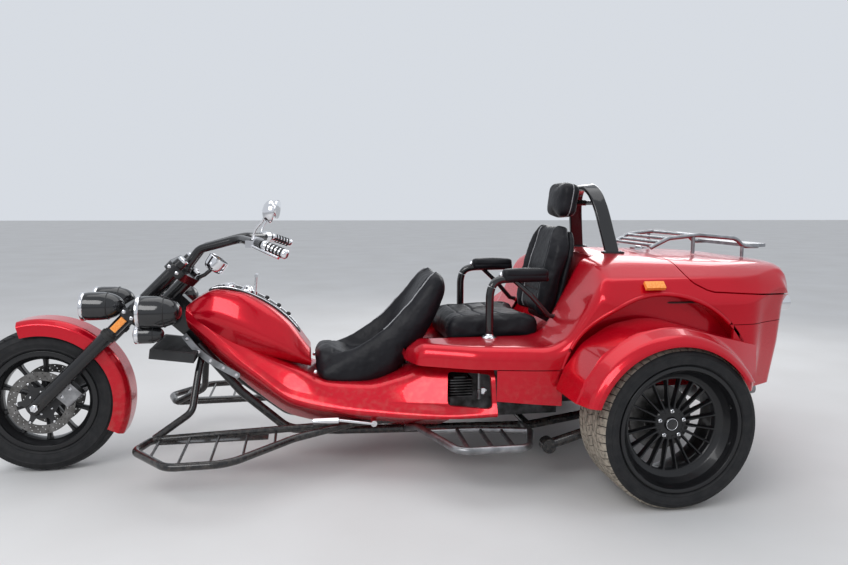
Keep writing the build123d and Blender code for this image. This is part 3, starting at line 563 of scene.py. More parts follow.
def steady_slopes(xs, ys):
    """Slopes of a cubic through points that never overshoots them."""
    runs = [(ys[i + 1] - ys[i]) / (xs[i + 1] - xs[i]) for i in range(len(xs) - 1)]
    slopes = [runs[0]]
    for before, after in zip(runs, runs[1:]):
        slopes.append(0.0 if before * after <= 0 else 2 * before * after / (before + after))
    return slopes + [runs[-1]]


def smooth_rows(table, xs):
    """Rows of a table at other values of its first column, by smooth curves through its rows."""
    own = [row[0] for row in table]
    columns = []
    for column in range(1, len(table[0])):
        ys = [row[column] for row in table]
        slopes = steady_slopes(own, ys)
        values = []
        for x in xs:
            i = max(0, min(len(own) - 2, sum(1 for known in own[1:-1] if known <= x)))
            width = own[i + 1] - own[i]
            t = (x - own[i]) / width
            values.append(ys[i] * (1 + 2 * t) * (1 - t) ** 2 + ys[i + 1] * t * t * (3 - 2 * t)
                          + width * (slopes[i] * t * (1 - t) ** 2 - slopes[i + 1] * t * t * (1 - t)))
        columns.append(values)
    return [(x, *values) for x, *values in zip(xs, *columns)]


def steps(low, high, count):
    """Evenly spaced values, both ends included."""
    return [low + (high - low) * i / (count - 1) for i in range(count)]


def between(table, x):
    """Straight interpolation in a sorted list of (x, y)."""
    if x <= table[0][0]:
        return table[0][1]
    for (x0, y0), (x1, y1) in zip(table, table[1:]):
        if x <= x1:
            return y0 + (y1 - y0) * (x - x0) / max(x1 - x0, 1e-9)
    return table[-1][1]


def ease(low, high, x):
    """A smooth step from 0 at low to 1 at high."""
    t = max(0.0, min(1.0, (x - low) / (high - low)))
    return t * t * (3 - 2 * t)


def soft_min(first, second, width):
    """The lower of two values, with their meeting rounded over a width."""
    gap = max(width - abs(first - second), 0.0) / width
    return min(first, second) - gap * gap * width / 4


# Front tub and cowl

# columns: x, bottom z, lip z, top z, half widths at the bottom, lip, wall and top, lip radius
TUB_SECTIONS = [
    (-0.925, 0.640, 0.680, 0.740, 0.040, 0.080, 0.072, 0.055, 0.020),
    (-0.770, 0.470, 0.545, 0.640, 0.060, 0.134, 0.120, 0.095, 0.036),
    (-0.600, 0.318, 0.420, 0.535, 0.085, 0.195, 0.168, 0.140, 0.050),
    (-0.450, 0.222, 0.325, 0.470, 0.110, 0.255, 0.220, 0.175, 0.055),
    (-0.290, 0.192, 0.298, 0.405, 0.135, 0.312, 0.272, 0.215, 0.050),
    (-0.130, 0.186, 0.288, 0.400, 0.165, 0.365, 0.315, 0.250, 0.035),
    (0.030, 0.186, 0.286, 0.440, 0.200, 0.425, 0.365, 0.290, 0.025),
    (0.200, 0.190, 0.292, 0.506, 0.240, 0.488, 0.425, 0.340, 0.018),
    (0.402, 0.196, 0.312, 0.512, 0.270, 0.548, 0.520, 0.480, 0.014),
]
# columns: x, bottom z, widest z, top z, bottom half width, greatest half width, top half width
COWL_SECTIONS = [
    (-0.932, 0.668, 0.700, 0.735, 0.030, 0.062, 0.030),
    (-0.870, 0.628, 0.705, 0.782, 0.062, 0.112, 0.062),
    (-0.790, 0.585, 0.700, 0.815, 0.092, 0.150, 0.088),
    (-0.690, 0.540, 0.665, 0.803, 0.115, 0.178, 0.108),
    (-0.580, 0.508, 0.610, 0.752, 0.128, 0.192, 0.115),
    (-0.470, 0.480, 0.552, 0.662, 0.128, 0.190, 0.108),
    (-0.372, 0.452, 0.482, 0.532, 0.105, 0.150, 0.085),
]
WALL_FOOT = 0.050
BAY_FRONT = 0.205
BAY_WALL = 0.016
SIDE_OPENING = [(0.206, 0.335, 0.02), (0.386, 0.338, 0.025), (0.386, 0.476, 0.015), (0.220, 0.470, 0.02)]


def whole_section(x, half):
    """A closed section across the vehicle from its left half, bottom to top."""
    left = [(x, -y, z) for y, z in half]
    right = [(x, y, z) for y, z in reversed(half)]
    return left + right


def tub_ring(row):
    """One section of the front tub as a closed ring."""
    x, low, lip, top, w_low, w_lip, w_wall, w_top, r_lip = row
    half = rounded_line([(0.0, low, 0), (w_low, low, 0.35 * w_low), (w_lip, lip, r_lip),
                         (w_wall, lip + WALL_FOOT, 0.03), (w_top, top, 0.3 * w_top), (0.0, top, 0)])
    return whole_section(x, half[1:-1])


def make_front_tub():
    """The front tub with its flared lower lip, the engine bay and the side openings."""
    rows = smooth_rows(TUB_SECTIONS, steps(TUB_SECTIONS[0][0], TUB_SECTIONS[-1][0], 90))
    mesh = ring_mesh("front_tub_skin", [tub_ring(row) for row in rows])
    tub = link_piece("front_tub", mesh, "chassis", RED)
    bay_rows = []
    for row in smooth_rows(TUB_SECTIONS, steps(BAY_FRONT, TUB_SECTIONS[-1][0], 8)):
        x, low, lip, top, _, w_lip, w_wall, w_top, _ = row
        half = [(w_lip - BAY_WALL, low - 0.05), (w_lip - BAY_WALL, lip), (w_wall - BAY_WALL, lip + WALL_FOOT),
                (w_top - BAY_WALL, top - 0.012)]
        bay_rows.append(whole_section(x, half))
    bay_rows.append([(x + 0.02, y, z) for x, y, z in bay_rows[-1]])
    bay = ring_mesh("bay", bay_rows)
    cut(tub, bay)
    opening = [tuple(point) for point in rounded_line(SIDE_OPENING, closed=True)]
    cut(tub, prism_mesh(opening, -0.7, 0.7, 1))
    shade(tub.data, 35)
    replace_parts(tub, "body_tub")


def cowl_ring(row):
    """One section of the cowl as a closed ring."""
    x, low, middle, top, w_low, w_mid, w_top = row
    half = rounded_line([(0.0, low, 0), (w_low, low, 0.5 * w_low), (w_mid, middle, 0.6 * w_mid),
                         (w_top, top, 0.7 * w_top), (0.0, top, 0)], arc_steps=9)
    return whole_section(x, half[1:-1])


def make_cowl():
    """The tank-shaped cowl."""
    xs = steps(COWL_SECTIONS[0][0], COWL_SECTIONS[-1][0], 64)
    mesh = ring_mesh("cowl_skin", [cowl_ring(row) for row in smooth_rows(COWL_SECTIONS, xs)])
    cowl = link_piece("cowl", mesh, "chassis", RED, 50)
    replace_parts(cowl, "tank_cowl")


make_front_tub()
make_cowl()


# Rear body

# columns: x, z, corner radius
DECK_LINE = [(0.040, 0.520, 0), (0.050, 0.560, 0.03), (0.105, 0.603, 0.06), (0.680, 0.603, 0.14),
             (0.862, 0.950, 0.11), (0.985, 1.003, 0.15), (1.795, 0.947, 0.08), (1.877, 0.900, 0)]
# columns: half width, z, corner radius
CROSS_LINE = [(0.0, 1.003, 0), (0.430, 0.966, 0.5), (0.600, 0.893, 0.12), (0.655, 0.838, 0.05),
              (0.700, 0.760, 0)]
# columns: x, half width, corner radius
PLAN_LINE = [(0.040, 0.290, 0), (0.080, 0.410, 0.06), (0.300, 0.520, 0.25), (0.560, 0.572, 0.30),
             (0.735, 0.592, 0.15), (0.860, 0.655, 0.15), (1.500, 0.655, 0.30), (1.755, 0.540, 0.16),
             (1.862, 0.260, 0.25), (1.876, 0.0, 0)]
# columns: distance in from the tail, z
TAIL_FALL = [(0.0, 0.812), (0.008, 0.850), (0.022, 0.893), (0.045, 0.924), (0.08, 0.945), (0.14, 0.956),
             (1.0, 1.2)]
# columns: z, distance in from the lip at the tail
TAIL_TUCK = [(0.36, 0.175), (0.412, 0.155), (0.59, 0.060), (0.70, 0.037), (0.785, 0.024), (0.800, 0.008),
             (0.812, 0.0)]
BODY_BOTTOM = [(0.04, 0.40), (0.70, 0.355), (1.38, 0.400), (1.90, 0.412)]
SPINE_START, SPINE_END = 1.45, 1.64
WELL_X, WELL_Z, WELL_R = 1.080, 0.410, 0.420
WELL_WALL_Y = 0.560
LINER = 0.012
PANEL_SEAM_Z, SKIRT_SEAM_Z = 0.512, 0.700
BODY_WALL = 0.014
SEAT_HALF = 0.265
SEAT_FLOOR_Z = 0.548


def dense(corners, arc_steps=10, run_steps=8):
    """A rounded line as a list of plain pairs."""
    return [tuple(point) for point in rounded_line(corners, arc_steps=arc_steps, run_steps=run_steps)]


DECK = dense(DECK_LINE)
CROSS = dense(CROSS_LINE)
PLAN = dense(PLAN_LINE, 14, 10)


def deck_height(x, y):
    """The height of the body's upper surface away from its edges."""
    return soft_min(between(CROSS, abs(y)), between(DECK, x), 0.05)


def along_plan(count):
    """Evenly spaced places on the plan outline: x, y, how far it faces the tail, and the way so far."""
    lengths = [0.0]
    for (x0, y0), (x1, y1) in zip(PLAN, PLAN[1:]):
        lengths.append(lengths[-1] + math.hypot(x1 - x0, y1 - y0))
    xs = [(length, x) for length, (x, y) in zip(lengths, PLAN)]
    ys = [(length, y) for length, (x, y) in zip(lengths, PLAN)]
    places = []
    for at in steps(0, lengths[-1], count):
        x, y = between(xs, at), between(ys, at)
        ahead_x = between(xs, at + 0.02) - between(xs, at - 0.02)
        ahead_y = between(ys, at + 0.02) - between(ys, at - 0.02)
        places.append((x, y, -ahead_y / math.hypot(ahead_x, ahead_y), at))
    return places


def body_rib(x, y, tail, spine_x, bottom):
    """A rib of the rear body's left side: up the wall, over the shoulder and in to the spine."""
    tailness = ease(0.25, 0.85, tail)
    inward = Vector((spine_x - x, y, 0))
    reach = inward.length
    inward.normalize()
    edge = soft_min(between(CROSS, y), between(DECK, x), 0.03)
    edge = edge * (1 - tailness) + TAIL_FALL[0][1] * tailness
    corner = min(0.055, 0.42 * (edge - bottom)) * (1 - 0.8 * tailness)
    points = []
    for z in steps(bottom, edge - corner, 12):
        tuck = between(TAIL_TUCK, z) * ease(0.2, 0.8, tail)
        points.append((x + inward.x * tuck, -(y - inward.y * tuck), z))
    for step in range(1, 60):
        d = reach * (step / 59) ** 2.1
        here_x, here_y = x + inward.x * d, y - inward.y * d
        field = deck_height(here_x, here_y)
        if tailness > 0:
            fall = soft_min(between(TAIL_FALL, d), field, 0.02)
            field = field * (1 - tailness) + fall * tailness
        if d < corner:
            side = math.sqrt(max(corner ** 2 - (corner - d) ** 2, 0.0)) - corner
            field = min(field, between([(0, edge), (corner, field)], d)) + side
        points.append((here_x, -here_y, field))
    return points


def body_skin():
    """The rear body's whole outer surface, as rows of ribs from the front-left to the front-right."""
    places = along_plan(230)
    ends = [at for x, y, tail, at in places if x >= SPINE_START and at > places[60][3]]
    start, end = ends[0], places[-1][3]
    rows = []
    for x, y, tail, at in places:
        share = ease(start, end, at) if at > start else 0.0
        spine = min(x, SPINE_START) if at < start else SPINE_START + (SPINE_END - SPINE_START) * share
        rows.append(body_rib(x, y, tail, spine, between(BODY_BOTTOM, x)))
    mirrored = [[(x, -y, z) for x, y, z in row] for row in reversed(rows)]
    mesh = grid_mesh("body_skin", rows + mirrored)
    work = bmesh.new()
    work.from_mesh(mesh)
    bmesh.ops.remove_doubles(work, verts=work.verts, dist=0.0002)
    bmesh.ops.dissolve_degenerate(work, edges=work.edges, dist=0.0001)
    if sum(face.normal.z * face.calc_area() for face in work.faces) < 0:
        bmesh.ops.reverse_faces(work, faces=work.faces)
    work.to_mesh(mesh)
    work.free()
    return mesh


def box_mesh(low, high):
    """A closed box between two corners."""
    outline = [(low[0], low[1]), (high[0], low[1]), (high[0], high[1]), (low[0], high[1])]
    return prism_mesh(outline, low[2], high[2], 2)


def circle(x, z, radius):
    """A circle in a side view."""
    turns = [2 * math.pi * i / 160 for i in range(160)]
    return [(x + radius * math.cos(turn), z + radius * math.sin(turn)) for turn in turns]


RECESS_SIDE = [(0.02, SEAT_FLOOR_Z), (0.02, 1.1), (0.975, 1.1), (0.930, 0.990), (0.730, SEAT_FLOOR_Z)]
PAN_SIDE = [(0.02, SEAT_FLOOR_Z - 0.012), (0.02, 1.1), (0.990, 1.1), (0.945, 0.990),
            (0.741, SEAT_FLOOR_Z - 0.012)]
LID_LINE = [(1.218, 1.2), (1.2181, 0.905), (1.224, 0.890), (1.240, 0.876), (1.290, 0.850), (1.320, 0.841),
            (1.95, 0.803)]
LID_ROOM = [(1.212, 1.2), (1.212, 0.904), (1.219, 0.886), (1.237, 0.870), (1.287, 0.844), (1.318, 0.835),
            (1.92, 0.798), (1.92, 1.2)]
SKIRT_FRONT_X = 1.403
SKIRT_ROOM_X = 1.380
ARCH_LIFT = 0.003
PANEL_FRONT_X, PANEL_REAR_X = 0.397, 0.668
SKIRT_GAP, PANEL_GAP = 0.003, 0.004
BODY_SHARP = 32


def split_off(mesh, place, direction):
    """A copy of a mesh, cut by a plane, without the side that the direction points to."""
    work = bmesh.new()
    work.from_mesh(mesh)
    everything = work.verts[:] + work.edges[:] + work.faces[:]
    bmesh.ops.bisect_plane(work, geom=everything, plane_co=place, plane_no=direction, clear_outer=True)
    part = bpy.data.meshes.new("part")
    work.to_mesh(part)
    work.free()
    return part


def well(radius, side, wall_y=WELL_WALL_Y):
    """The room of a wheel well, outside its inner wall; side is -1 on the left."""
    return prism_mesh(circle(WELL_X, WELL_Z, radius), side * wall_y, side * 1.0, 1)


def finish_panel(panel, replaced):
    """Shades a body panel and hides the part that it stands for."""
    shade(panel.data, BODY_SHARP)
    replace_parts(panel, replaced)


def make_body_shell(skin, volume):
    """Shelf, seat recess, deck and quarters, with the wheel wells and the opening for the lid."""
    upper = split_off(skin, (0, 0, PANEL_SEAM_Z), (0, 0, -1))
    body = link_piece("rear_shell", upper, "chassis", RED)
    thicken(body, BODY_WALL)
    for side in (-1, 1):
        cut(body, well(WELL_R, side))
    cut(body, prism_mesh(RECESS_SIDE, -SEAT_HALF, SEAT_HALF, 1))
    cut(body, prism_mesh(LID_ROOM, -0.8, 0.8, 1))
    cut(body, box_mesh((SKIRT_ROOM_X, -0.8, 0.2), (2.0, 0.8, SKIRT_SEAM_Z)))
    finish_panel(body, "rear_body")
    pan_mesh = prism_mesh(PAN_SIDE, -SEAT_HALF - LINER, SEAT_HALF + LINER, 1)
    pan = link_piece("seat_recess", pan_mesh, "chassis", RED)
    cut(pan, prism_mesh(RECESS_SIDE, -SEAT_HALF, SEAT_HALF, 1))
    cut(pan, volume, "INTERSECT")
    finish_panel(pan, "rear_body")
    for side, name in SIDES:
        liner_mesh = well(WELL_R + LINER, side, WELL_WALL_Y - LINER)
        liner = link_piece("well_liner_" + name, liner_mesh, "chassis", RED)
        cut(liner, well(WELL_R, side))
        cut(liner, volume, "INTERSECT")
        cut(liner, box_mesh((0.0, -0.8, 0.2), (2.0, 0.8, 0.42)))
        finish_panel(liner, "rear_body")


def trim_above(mesh, line):
    """A copy of a mesh with only what lies above and behind a line in the side view."""
    work = bmesh.new()
    work.from_mesh(mesh)
    for (x0, z0), (x1, z1) in zip(line, line[1:]):
        everything = work.verts[:] + work.edges[:] + work.faces[:]
        bmesh.ops.bisect_plane(work, geom=everything, plane_co=(x0, 0, z0), plane_no=(z1 - z0, 0, x0 - x1))
    outside = []
    for face in work.faces:
        middle = face.calc_center_median()
        if middle.x < line[0][0] or middle.z < between(line[1:], middle.x):
            outside.append(face)
    bmesh.ops.delete(work, geom=outside, context="FACES")
    part = bpy.data.meshes.new("part")
    work.to_mesh(part)
    work.free()
    return part


def make_lid_skin(skin):
    """The boot lid, cut from the same skin."""
    lid = link_piece("lid_skin", trim_above(skin, LID_LINE), "lid", RED)
    thicken(lid, BODY_WALL)
    finish_panel(lid, "trunk_lid")


def make_lower_panels(skin):
    """The skirt round the tail and the panels between the side openings and the wells."""
    low = split_off(skin, (0, 0, SKIRT_SEAM_Z - SKIRT_GAP), (0, 0, 1))
    lower = split_off(low, (SKIRT_FRONT_X, 0, 0), (-1, 0, 0))
    skirt = link_piece("tail_skirt", lower, "chassis", RED)
    thicken(skirt, BODY_WALL)
    finish_panel(skirt, "rear_skirt")
    low = split_off(skin, (0, 0, PANEL_SEAM_Z - PANEL_GAP), (0, 0, 1))
    low = split_off(low, (PANEL_FRONT_X, 0, 0), (-1, 0, 0))
    low = split_off(low, (PANEL_REAR_X, 0, 0), (1, 0, 0))
    panels = link_piece("lower_side_panels", low, "chassis", RED)
    thicken(panels, BODY_WALL)
    finish_panel(panels, "side_panels")


def make_arch_lips(volume):
    """A rolled edge round each wheel arch."""
    tree = ray_tree(volume)
    for side, name in SIDES:
        points = []
        for angle in steps(-18, 194, 120):
            turn = math.radians(angle)
            x = WELL_X + (WELL_R + ARCH_LIFT) * math.cos(turn)
            z = WELL_Z + (WELL_R + ARCH_LIFT) * math.sin(turn)
            low = SKIRT_SEAM_Z if x > SKIRT_ROOM_X else PANEL_SEAM_Z
            hit = tree.ray_cast(Vector((x, side * 2.0, z)), Vector((0, -side, 0)))[0]
            if hit is not None and z > low:
                points.append((x, hit.y - side * ARCH_LIFT, z))
        lip = bead("arch_lip_" + name, points, 0.009, "chassis", RED, 12)
        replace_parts(lip, "rear_body")


def make_rear():
    """The whole rear body from one smooth skin."""
    skin = body_skin()
    volume = closed(skin)
    make_body_shell(skin, volume)
    make_lid_skin(skin)
    make_lower_panels(skin)
    make_arch_lips(volume)


make_rear()


# Wheels: a place on one is its radius, its distance outwards from the wheel's middle, and its turn

REAR_WHEEL_R, REAR_WHEEL_Y = 0.330, 0.755
FRONT_WHEEL_R = 0.325
REAR_AXLE_X, FRONT_AXLE_X = 1.05, -1.55
GROOVE = 0.0075


class Hub:
    """A wheel's middle, with its outer side and the body that it turns with."""

    def __init__(self, centre, side, body):
        self.centre, self.side, self.body = Vector(centre), side, body

    def at(self, radius, out, turn):
        """The place at a radius, a distance outwards and a turn in radians."""
        return self.centre + Vector((radius * math.cos(turn), self.side * out, radius * math.sin(turn)))

    def turned(self, name, profile, material, segments, smooth_angle=35):
        """A piece turned from a (radius, out) profile."""
        rows = [[self.at(radius, out, 2 * math.pi * i / segments) for radius, out in profile]
                for i in range(segments)]
        mesh = grid_mesh(name, rows, close_rows=True, close_columns=True)
        tidy_normals(mesh)
        return link_piece(name, mesh, self.body, material, smooth_angle)


def smooth_profile(corners):
    """A closed (radius, out) profile from (radius, out, corner radius) rows."""
    return [(point.x, point.y) for point in rounded_line(corners, True, 4, 1)]


def rear_crown(out):
    """Radius of the rear tread at a distance from the tyre's middle."""
    edge = 0.100
    if abs(out) < edge:
        return REAR_WHEEL_R - 0.0015 * (out / edge) ** 2
    return REAR_WHEEL_R - 0.0015 - 0.013 * ((abs(out) - edge) / 0.028) ** 1.8


def front_crown(out):
    """Radius of the front tread at a distance from the tyre's middle."""
    return FRONT_WHEEL_R - 0.0115 * (abs(out) / 0.053) ** 2.2


def add_block(points, faces, hub, crown, low, high, start, end, slant):
    """Adds one tread block between two distances out and two turns, leaning by a slant."""
    across = max(2, math.ceil((high - low) / 0.011))
    along = 2
    first = len(points)
    for sink in (0.0, GROOVE):
        for i in range(along + 1):
            for j in range(across + 1):
                out = low + (high - low) * j / across
                lean = slant * (out - (low + high) / 2)
                points.append(hub.at(crown(out) - sink, out, start + (end - start) * i / along + lean))
    wide = across + 1
    under = first + (along + 1) * wide
    for i in range(along):
        for j in range(across):
            corner = first + i * wide + j
            faces.append((corner, corner + 1, corner + wide + 1, corner + wide))
    rim = list(range(across))
    rim += [i * wide + across for i in range(along)]
    rim += [along * wide + j for j in range(across, 0, -1)]
    rim += [i * wide for i in range(along, 0, -1)]
    for here, there in zip(rim, rim[1:] + rim[:1]):
        faces.append((first + here, under + here, under + there, first + there))


def tread(name, hub, crown, ribs_and_painted_bands, material, node):
    """The tread's blocks, from (low, high, count, gap, slant, shift) rows of ribs."""
    points, faces = [], []
    for low, high, count, gap, slant, shift in ribs_and_painted_bands:
        pitch = 2 * math.pi / count
        for i in range(count):
            start = pitch * (i + shift)
            add_block(points, faces, hub, crown, low, high, start, start + pitch - gap / REAR_WHEEL_R, slant)
    mesh = bpy.data.meshes.new(name)
    mesh.from_pydata(points, [], faces)
    mesh.update()
    tidy_normals(mesh)
    piece = link_piece(name, mesh, hub.body, material, 30)
    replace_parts(piece, node)


# columns: inner side, outer side, number of blocks, gap, slant, shift in blocks
REAR_RIBS = [(-0.126, -0.074, 62, 0.006, 0.5, 0.0), (-0.066, -0.030, 62, 0.005, 2.4, 0.4),
             (-0.022, 0.022, 48, 0.003, -1.2, 0.1), (0.030, 0.066, 62, 0.005, 2.4, 0.7),
             (0.074, 0.126, 62, 0.004, -0.5, 0.3)]
FRONT_RIBS = [(-0.053, -0.020, 46, 0.006, 4.0, 0.0), (-0.013, 0.013, 60, 0.003, 1.5, 0.3),
              (0.020, 0.053, 46, 0.006, -4.0, 0.5)]
# columns: radius, distance outwards, corner radius
REAR_CARCASS = [(0.2405, 0.1215, 0), (0.2575, 0.1215, 0.002), (0.262, 0.129, 0.003), (0.2665, 0.1345, 0.003),
                (0.2700, 0.1325, 0.003), (0.286, 0.1362, 0.010), (0.2960, 0.1366, 0.002),
                (0.2975, 0.1380, 0.001), (0.2995, 0.1380, 0.001), (0.301, 0.1362, 0.002),
                (0.311, 0.1325, 0.010), (0.3165, 0.1270, 0.004), (0.3215, 0.112, 0.006)]
FRONT_CARCASS = [(0.2125, 0.0495, 0), (0.2295, 0.0495, 0.002), (0.2340, 0.0560, 0.003),
                 (0.2390, 0.0590, 0.003), (0.2430, 0.0580, 0.002), (0.262, 0.0645, 0.015),
                 (0.2830, 0.0648, 0.004), (0.2850, 0.0662, 0.001), (0.2870, 0.0662, 0.001),
                 (0.2890, 0.0642, 0.003), (0.302, 0.0575, 0.010), (0.3095, 0.050, 0.006),
                 (0.3170, 0.020, 0.03)]


def both_sides(half):
    """A closed profile from its outer half."""
    return half + [(radius, -out, corner) for radius, out, corner in reversed(half)]


def make_tyre(name, hub, carcass, crown, ribs_and_painted_bands, material, node):
    """A tyre: its carcass with the ridges of its walls, and the tread."""
    wall = hub.turned(name + "_wall", smooth_profile(both_sides(carcass)), SLOTS["tyre"], 144)
    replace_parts(wall, node)
    tread(name + "_tread", hub, crown, ribs_and_painted_bands, material, node)


def spoke_fan(name, hub, count, stations, material):
    """Cast spokes from (radius, out, half width, half depth) rows."""
    points, faces = [], []
    shape = [(-1.0, -1.0), (1.0, -1.0), (1.0, 0.2), (0.55, 1.0), (-0.55, 1.0), (-1.0, 0.2)]
    ring = len(shape)
    rows = smooth_rows(stations, steps(stations[0][0], stations[-1][0], 13))
    for spoke in range(count):
        turn = 2 * math.pi * (spoke + 0.5) / count
        across = Vector((-math.sin(turn), 0, math.cos(turn)))
        first = len(points)
        for radius, out, half_width, half_depth in rows:
            middle = hub.at(radius, out, turn)
            for side, deep in shape:
                outwards = Vector((0, hub.side * half_depth * deep, 0))
                points.append(middle + across * half_width * side + outwards)
        for i in range(len(rows) - 1):
            for j in range(ring):
                here, beside = first + i * ring + j, first + i * ring + (j + 1) % ring
                faces.append((here, beside, beside + ring, here + ring))
    mesh = bpy.data.meshes.new(name)
    mesh.from_pydata(points, [], faces)
    tidy_normals(mesh)
    piece = link_piece(name, mesh, hub.body, material, 40)
    rounding = piece.modifiers.new("rounding", "BEVEL")
    rounding.width, rounding.segments, rounding.limit_method = 0.0012, 2, "ANGLE"
    apply_modifiers(piece)
    shade(piece.data, 40)
    return piece


# columns: share of the nut's size, share of its height
NUT_LEVELS = [(1.0, 0.0), (1.0, 0.72), (0.90, 0.80), (0.62, 0.86), (0.60, 0.92), (0.45, 1.105), (0.12, 1.14)]


def hex_nut(name, centre, axis, size, height, body, material):
    """A hexagon nut with a rounded crown, standing along an axis."""
    way = Vector(axis).normalized()
    side = way.cross(Vector((0.3, 0.2, 0.9))).normalized()
    over = way.cross(side)
    rows = []
    for scale, up in NUT_LEVELS:
        row = []
        for k in range(24):
            turn = 2 * math.pi * k / 24
            flat = math.cos(math.pi / 6) / math.cos((turn % (math.pi / 3)) - math.pi / 6)
            reach = size * (flat if up < 0.8 else 0.866) * scale
            row.append(Vector(centre) + side * reach * math.cos(turn) + over * reach * math.sin(turn)
                       + way * height * up)
        rows.append(row)
    return link_piece(name, ring_mesh(name, rows), body, material, 28)


def ring_piece(name, hub, radius, out, thickness, material):
    """A round ring about the wheel's axle."""
    profile = [(radius + thickness * math.cos(turn), out + thickness * math.sin(turn))
               for turn in (2 * math.pi * k / 10 for k in range(10))]
    return hub.turned(name, profile, material, 64, 80)


# columns: radius, distance outwards, corner radius
REAR_BARREL = [(0.2560, 0.1290, 0.004), (0.2500, 0.1310, 0.002), (0.2400, 0.1290, 0.003),
               (0.2360, 0.1180, 0.006), (0.2340, 0.1100, 0.004), (0.2290, 0.0950, 0.004),
               (0.2120, 0.0680, 0.020), (0.1960, 0.0570, 0.008), (0.1900, 0.0560, 0.003),
               (0.1860, 0.0500, 0.004), (0.1860, 0.0260, 0.004), (0.1960, 0.0180, 0.004),
               (0.2150, -0.0200, 0.020), (0.2240, -0.0870, 0.004), (0.2320, -0.1290, 0.002),
               (0.2560, -0.1290, 0.003), (0.2560, -0.1220, 0), (0.2400, -0.1220, 0), (0.2330, -0.0870, 0),
               (0.2330, 0.0870, 0), (0.2400, 0.1220, 0), (0.2560, 0.1220, 0)]
# columns: radius, distance outwards, half width, half depth
REAR_SPOKE = [(0.050, 0.0330, 0.0078, 0.014), (0.080, 0.0330, 0.0062, 0.014), (0.120, 0.0340, 0.0050, 0.013),
              (0.160, 0.0380, 0.0046, 0.013), (0.180, 0.0400, 0.0056, 0.014), (0.190, 0.0400, 0.0085, 0.015)]
FRONT_SPOKE = [(0.030, 0.0, 0.0150, 0.026), (0.060, 0.0, 0.0115, 0.020), (0.120, 0.0, 0.0092, 0.015),
               (0.170, 0.0, 0.0100, 0.014), (0.190, 0.0, 0.0150, 0.017)]
FRONT_RIM = [(0.2060, 0.056, 0.002), (0.2280, 0.056, 0.003), (0.2280, 0.050, 0), (0.2120, 0.050, 0),
             (0.1920, 0.024, 0), (0.1920, -0.024, 0), (0.2120, -0.050, 0), (0.2280, -0.050, 0),
             (0.2280, -0.056, 0.003), (0.2060, -0.056, 0.002), (0.2040, -0.048, 0.004),
             (0.1860, -0.028, 0.010), (0.1840, 0.0, 0.02), (0.1860, 0.028, 0.010), (0.2040, 0.048, 0.004)]


def make_rear_wheel(name, side, body):
    """One rear wheel: stepped barrel, spokes, hub, lug nuts, ringed cap, valve and brake disc."""
    hub = Hub((REAR_AXLE_X, side * REAR_WHEEL_Y, REAR_WHEEL_R), side, body)
    node = "rear_wheel_" + name
    paint = SLOTS["wheel_black"]
    pieces = [hub.turned(name + "_barrel", smooth_profile(REAR_BARREL), paint, 128),
              spoke_fan(name + "_spokes", hub, 20, REAR_SPOKE, paint)]
    face = [(0.0300, 0.0450, 0.001), (0.0640, 0.0450, 0.006), (0.0720, 0.0360, 0.006), (0.0720, -0.05, 0.002),
            (0.0210, -0.05, 0), (0.0210, 0.040, 0)]
    pieces.append(hub.turned(name + "_hub", smooth_profile(face), paint, 64))
    cap = [(0.0010, 0.0560), (0.0120, 0.0556), (0.0200, 0.0540), (0.0260, 0.0505), (0.0285, 0.0440),
           (0.0285, 0.0380), (0.0010, 0.0380)]
    pieces.append(hub.turned(name + "_cap", cap, SLOTS["lamp_black"], 48, 50))
    pieces.append(ring_piece(name + "_cap_ring", hub, 0.0235, 0.0530, 0.0013, CHROME))
    for lug in range(5):
        turn = math.radians(90 + 72 * lug)
        seat = hub.at(0.054, 0.0400, turn)
        pieces.append(hex_nut(f"{name}_lug_{lug}", seat, (0, side, 0), 0.0095, 0.017, body, CHROME))
    valve = [hub.at(0.2335 - 0.002 * k, 0.100 + 0.004 * k, 0.35) for k in range(6)]
    pieces.append(bead(name + "_valve", valve, 0.0035, body, RUBBER, 10))
    disc = [(0.0720, -0.050, 0), (0.0860, -0.050, 0.003), (0.0860, -0.042, 0), (0.1360, -0.042, 0.001),
            (0.1360, -0.064, 0.001), (0.0720, -0.064, 0)]
    pieces.append(hub.turned(name + "_brake_disc", smooth_profile(disc), SLOTS["disc_steel"], 96))
    for piece in pieces:
        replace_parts(piece, node)
    make_tyre(name + "_rear", hub, REAR_CARCASS, rear_crown, REAR_RIBS, TREAD, "rear_tyre_" + name)


def make_front_wheel():
    """The front wheel: rim, spokes, hub, and a drilled disc on each side."""
    hub = Hub((FRONT_AXLE_X, 0, FRONT_WHEEL_R), -1, "front_spinner")
    paint = SLOTS["wheel_black"]
    middle = [(0.0112, 0.079, 0), (0.0300, 0.079, 0.003), (0.0370, 0.072, 0.004), (0.0370, 0.030, 0.010),
              (0.0480, 0.020, 0.008), (0.0480, -0.020, 0.008), (0.0370, -0.030, 0.010),
              (0.0370, -0.072, 0.004), (0.0300, -0.079, 0.003), (0.0112, -0.079, 0)]
    for piece in (hub.turned("front_rim", smooth_profile(FRONT_RIM), paint, 128),
                  spoke_fan("front_spokes", hub, 10, FRONT_SPOKE, paint),
                  hub.turned("front_hub", smooth_profile(middle), paint, 64)):
        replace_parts(piece, "front_wheel")
    for side, label in SIDES:
        make_front_disc(label, Hub((FRONT_AXLE_X, 0, FRONT_WHEEL_R), side, "front_spinner"))
    make_tyre("front", hub, FRONT_CARCASS, front_crown, FRONT_RIBS, SLOTS["tyre"], "front_tyre")


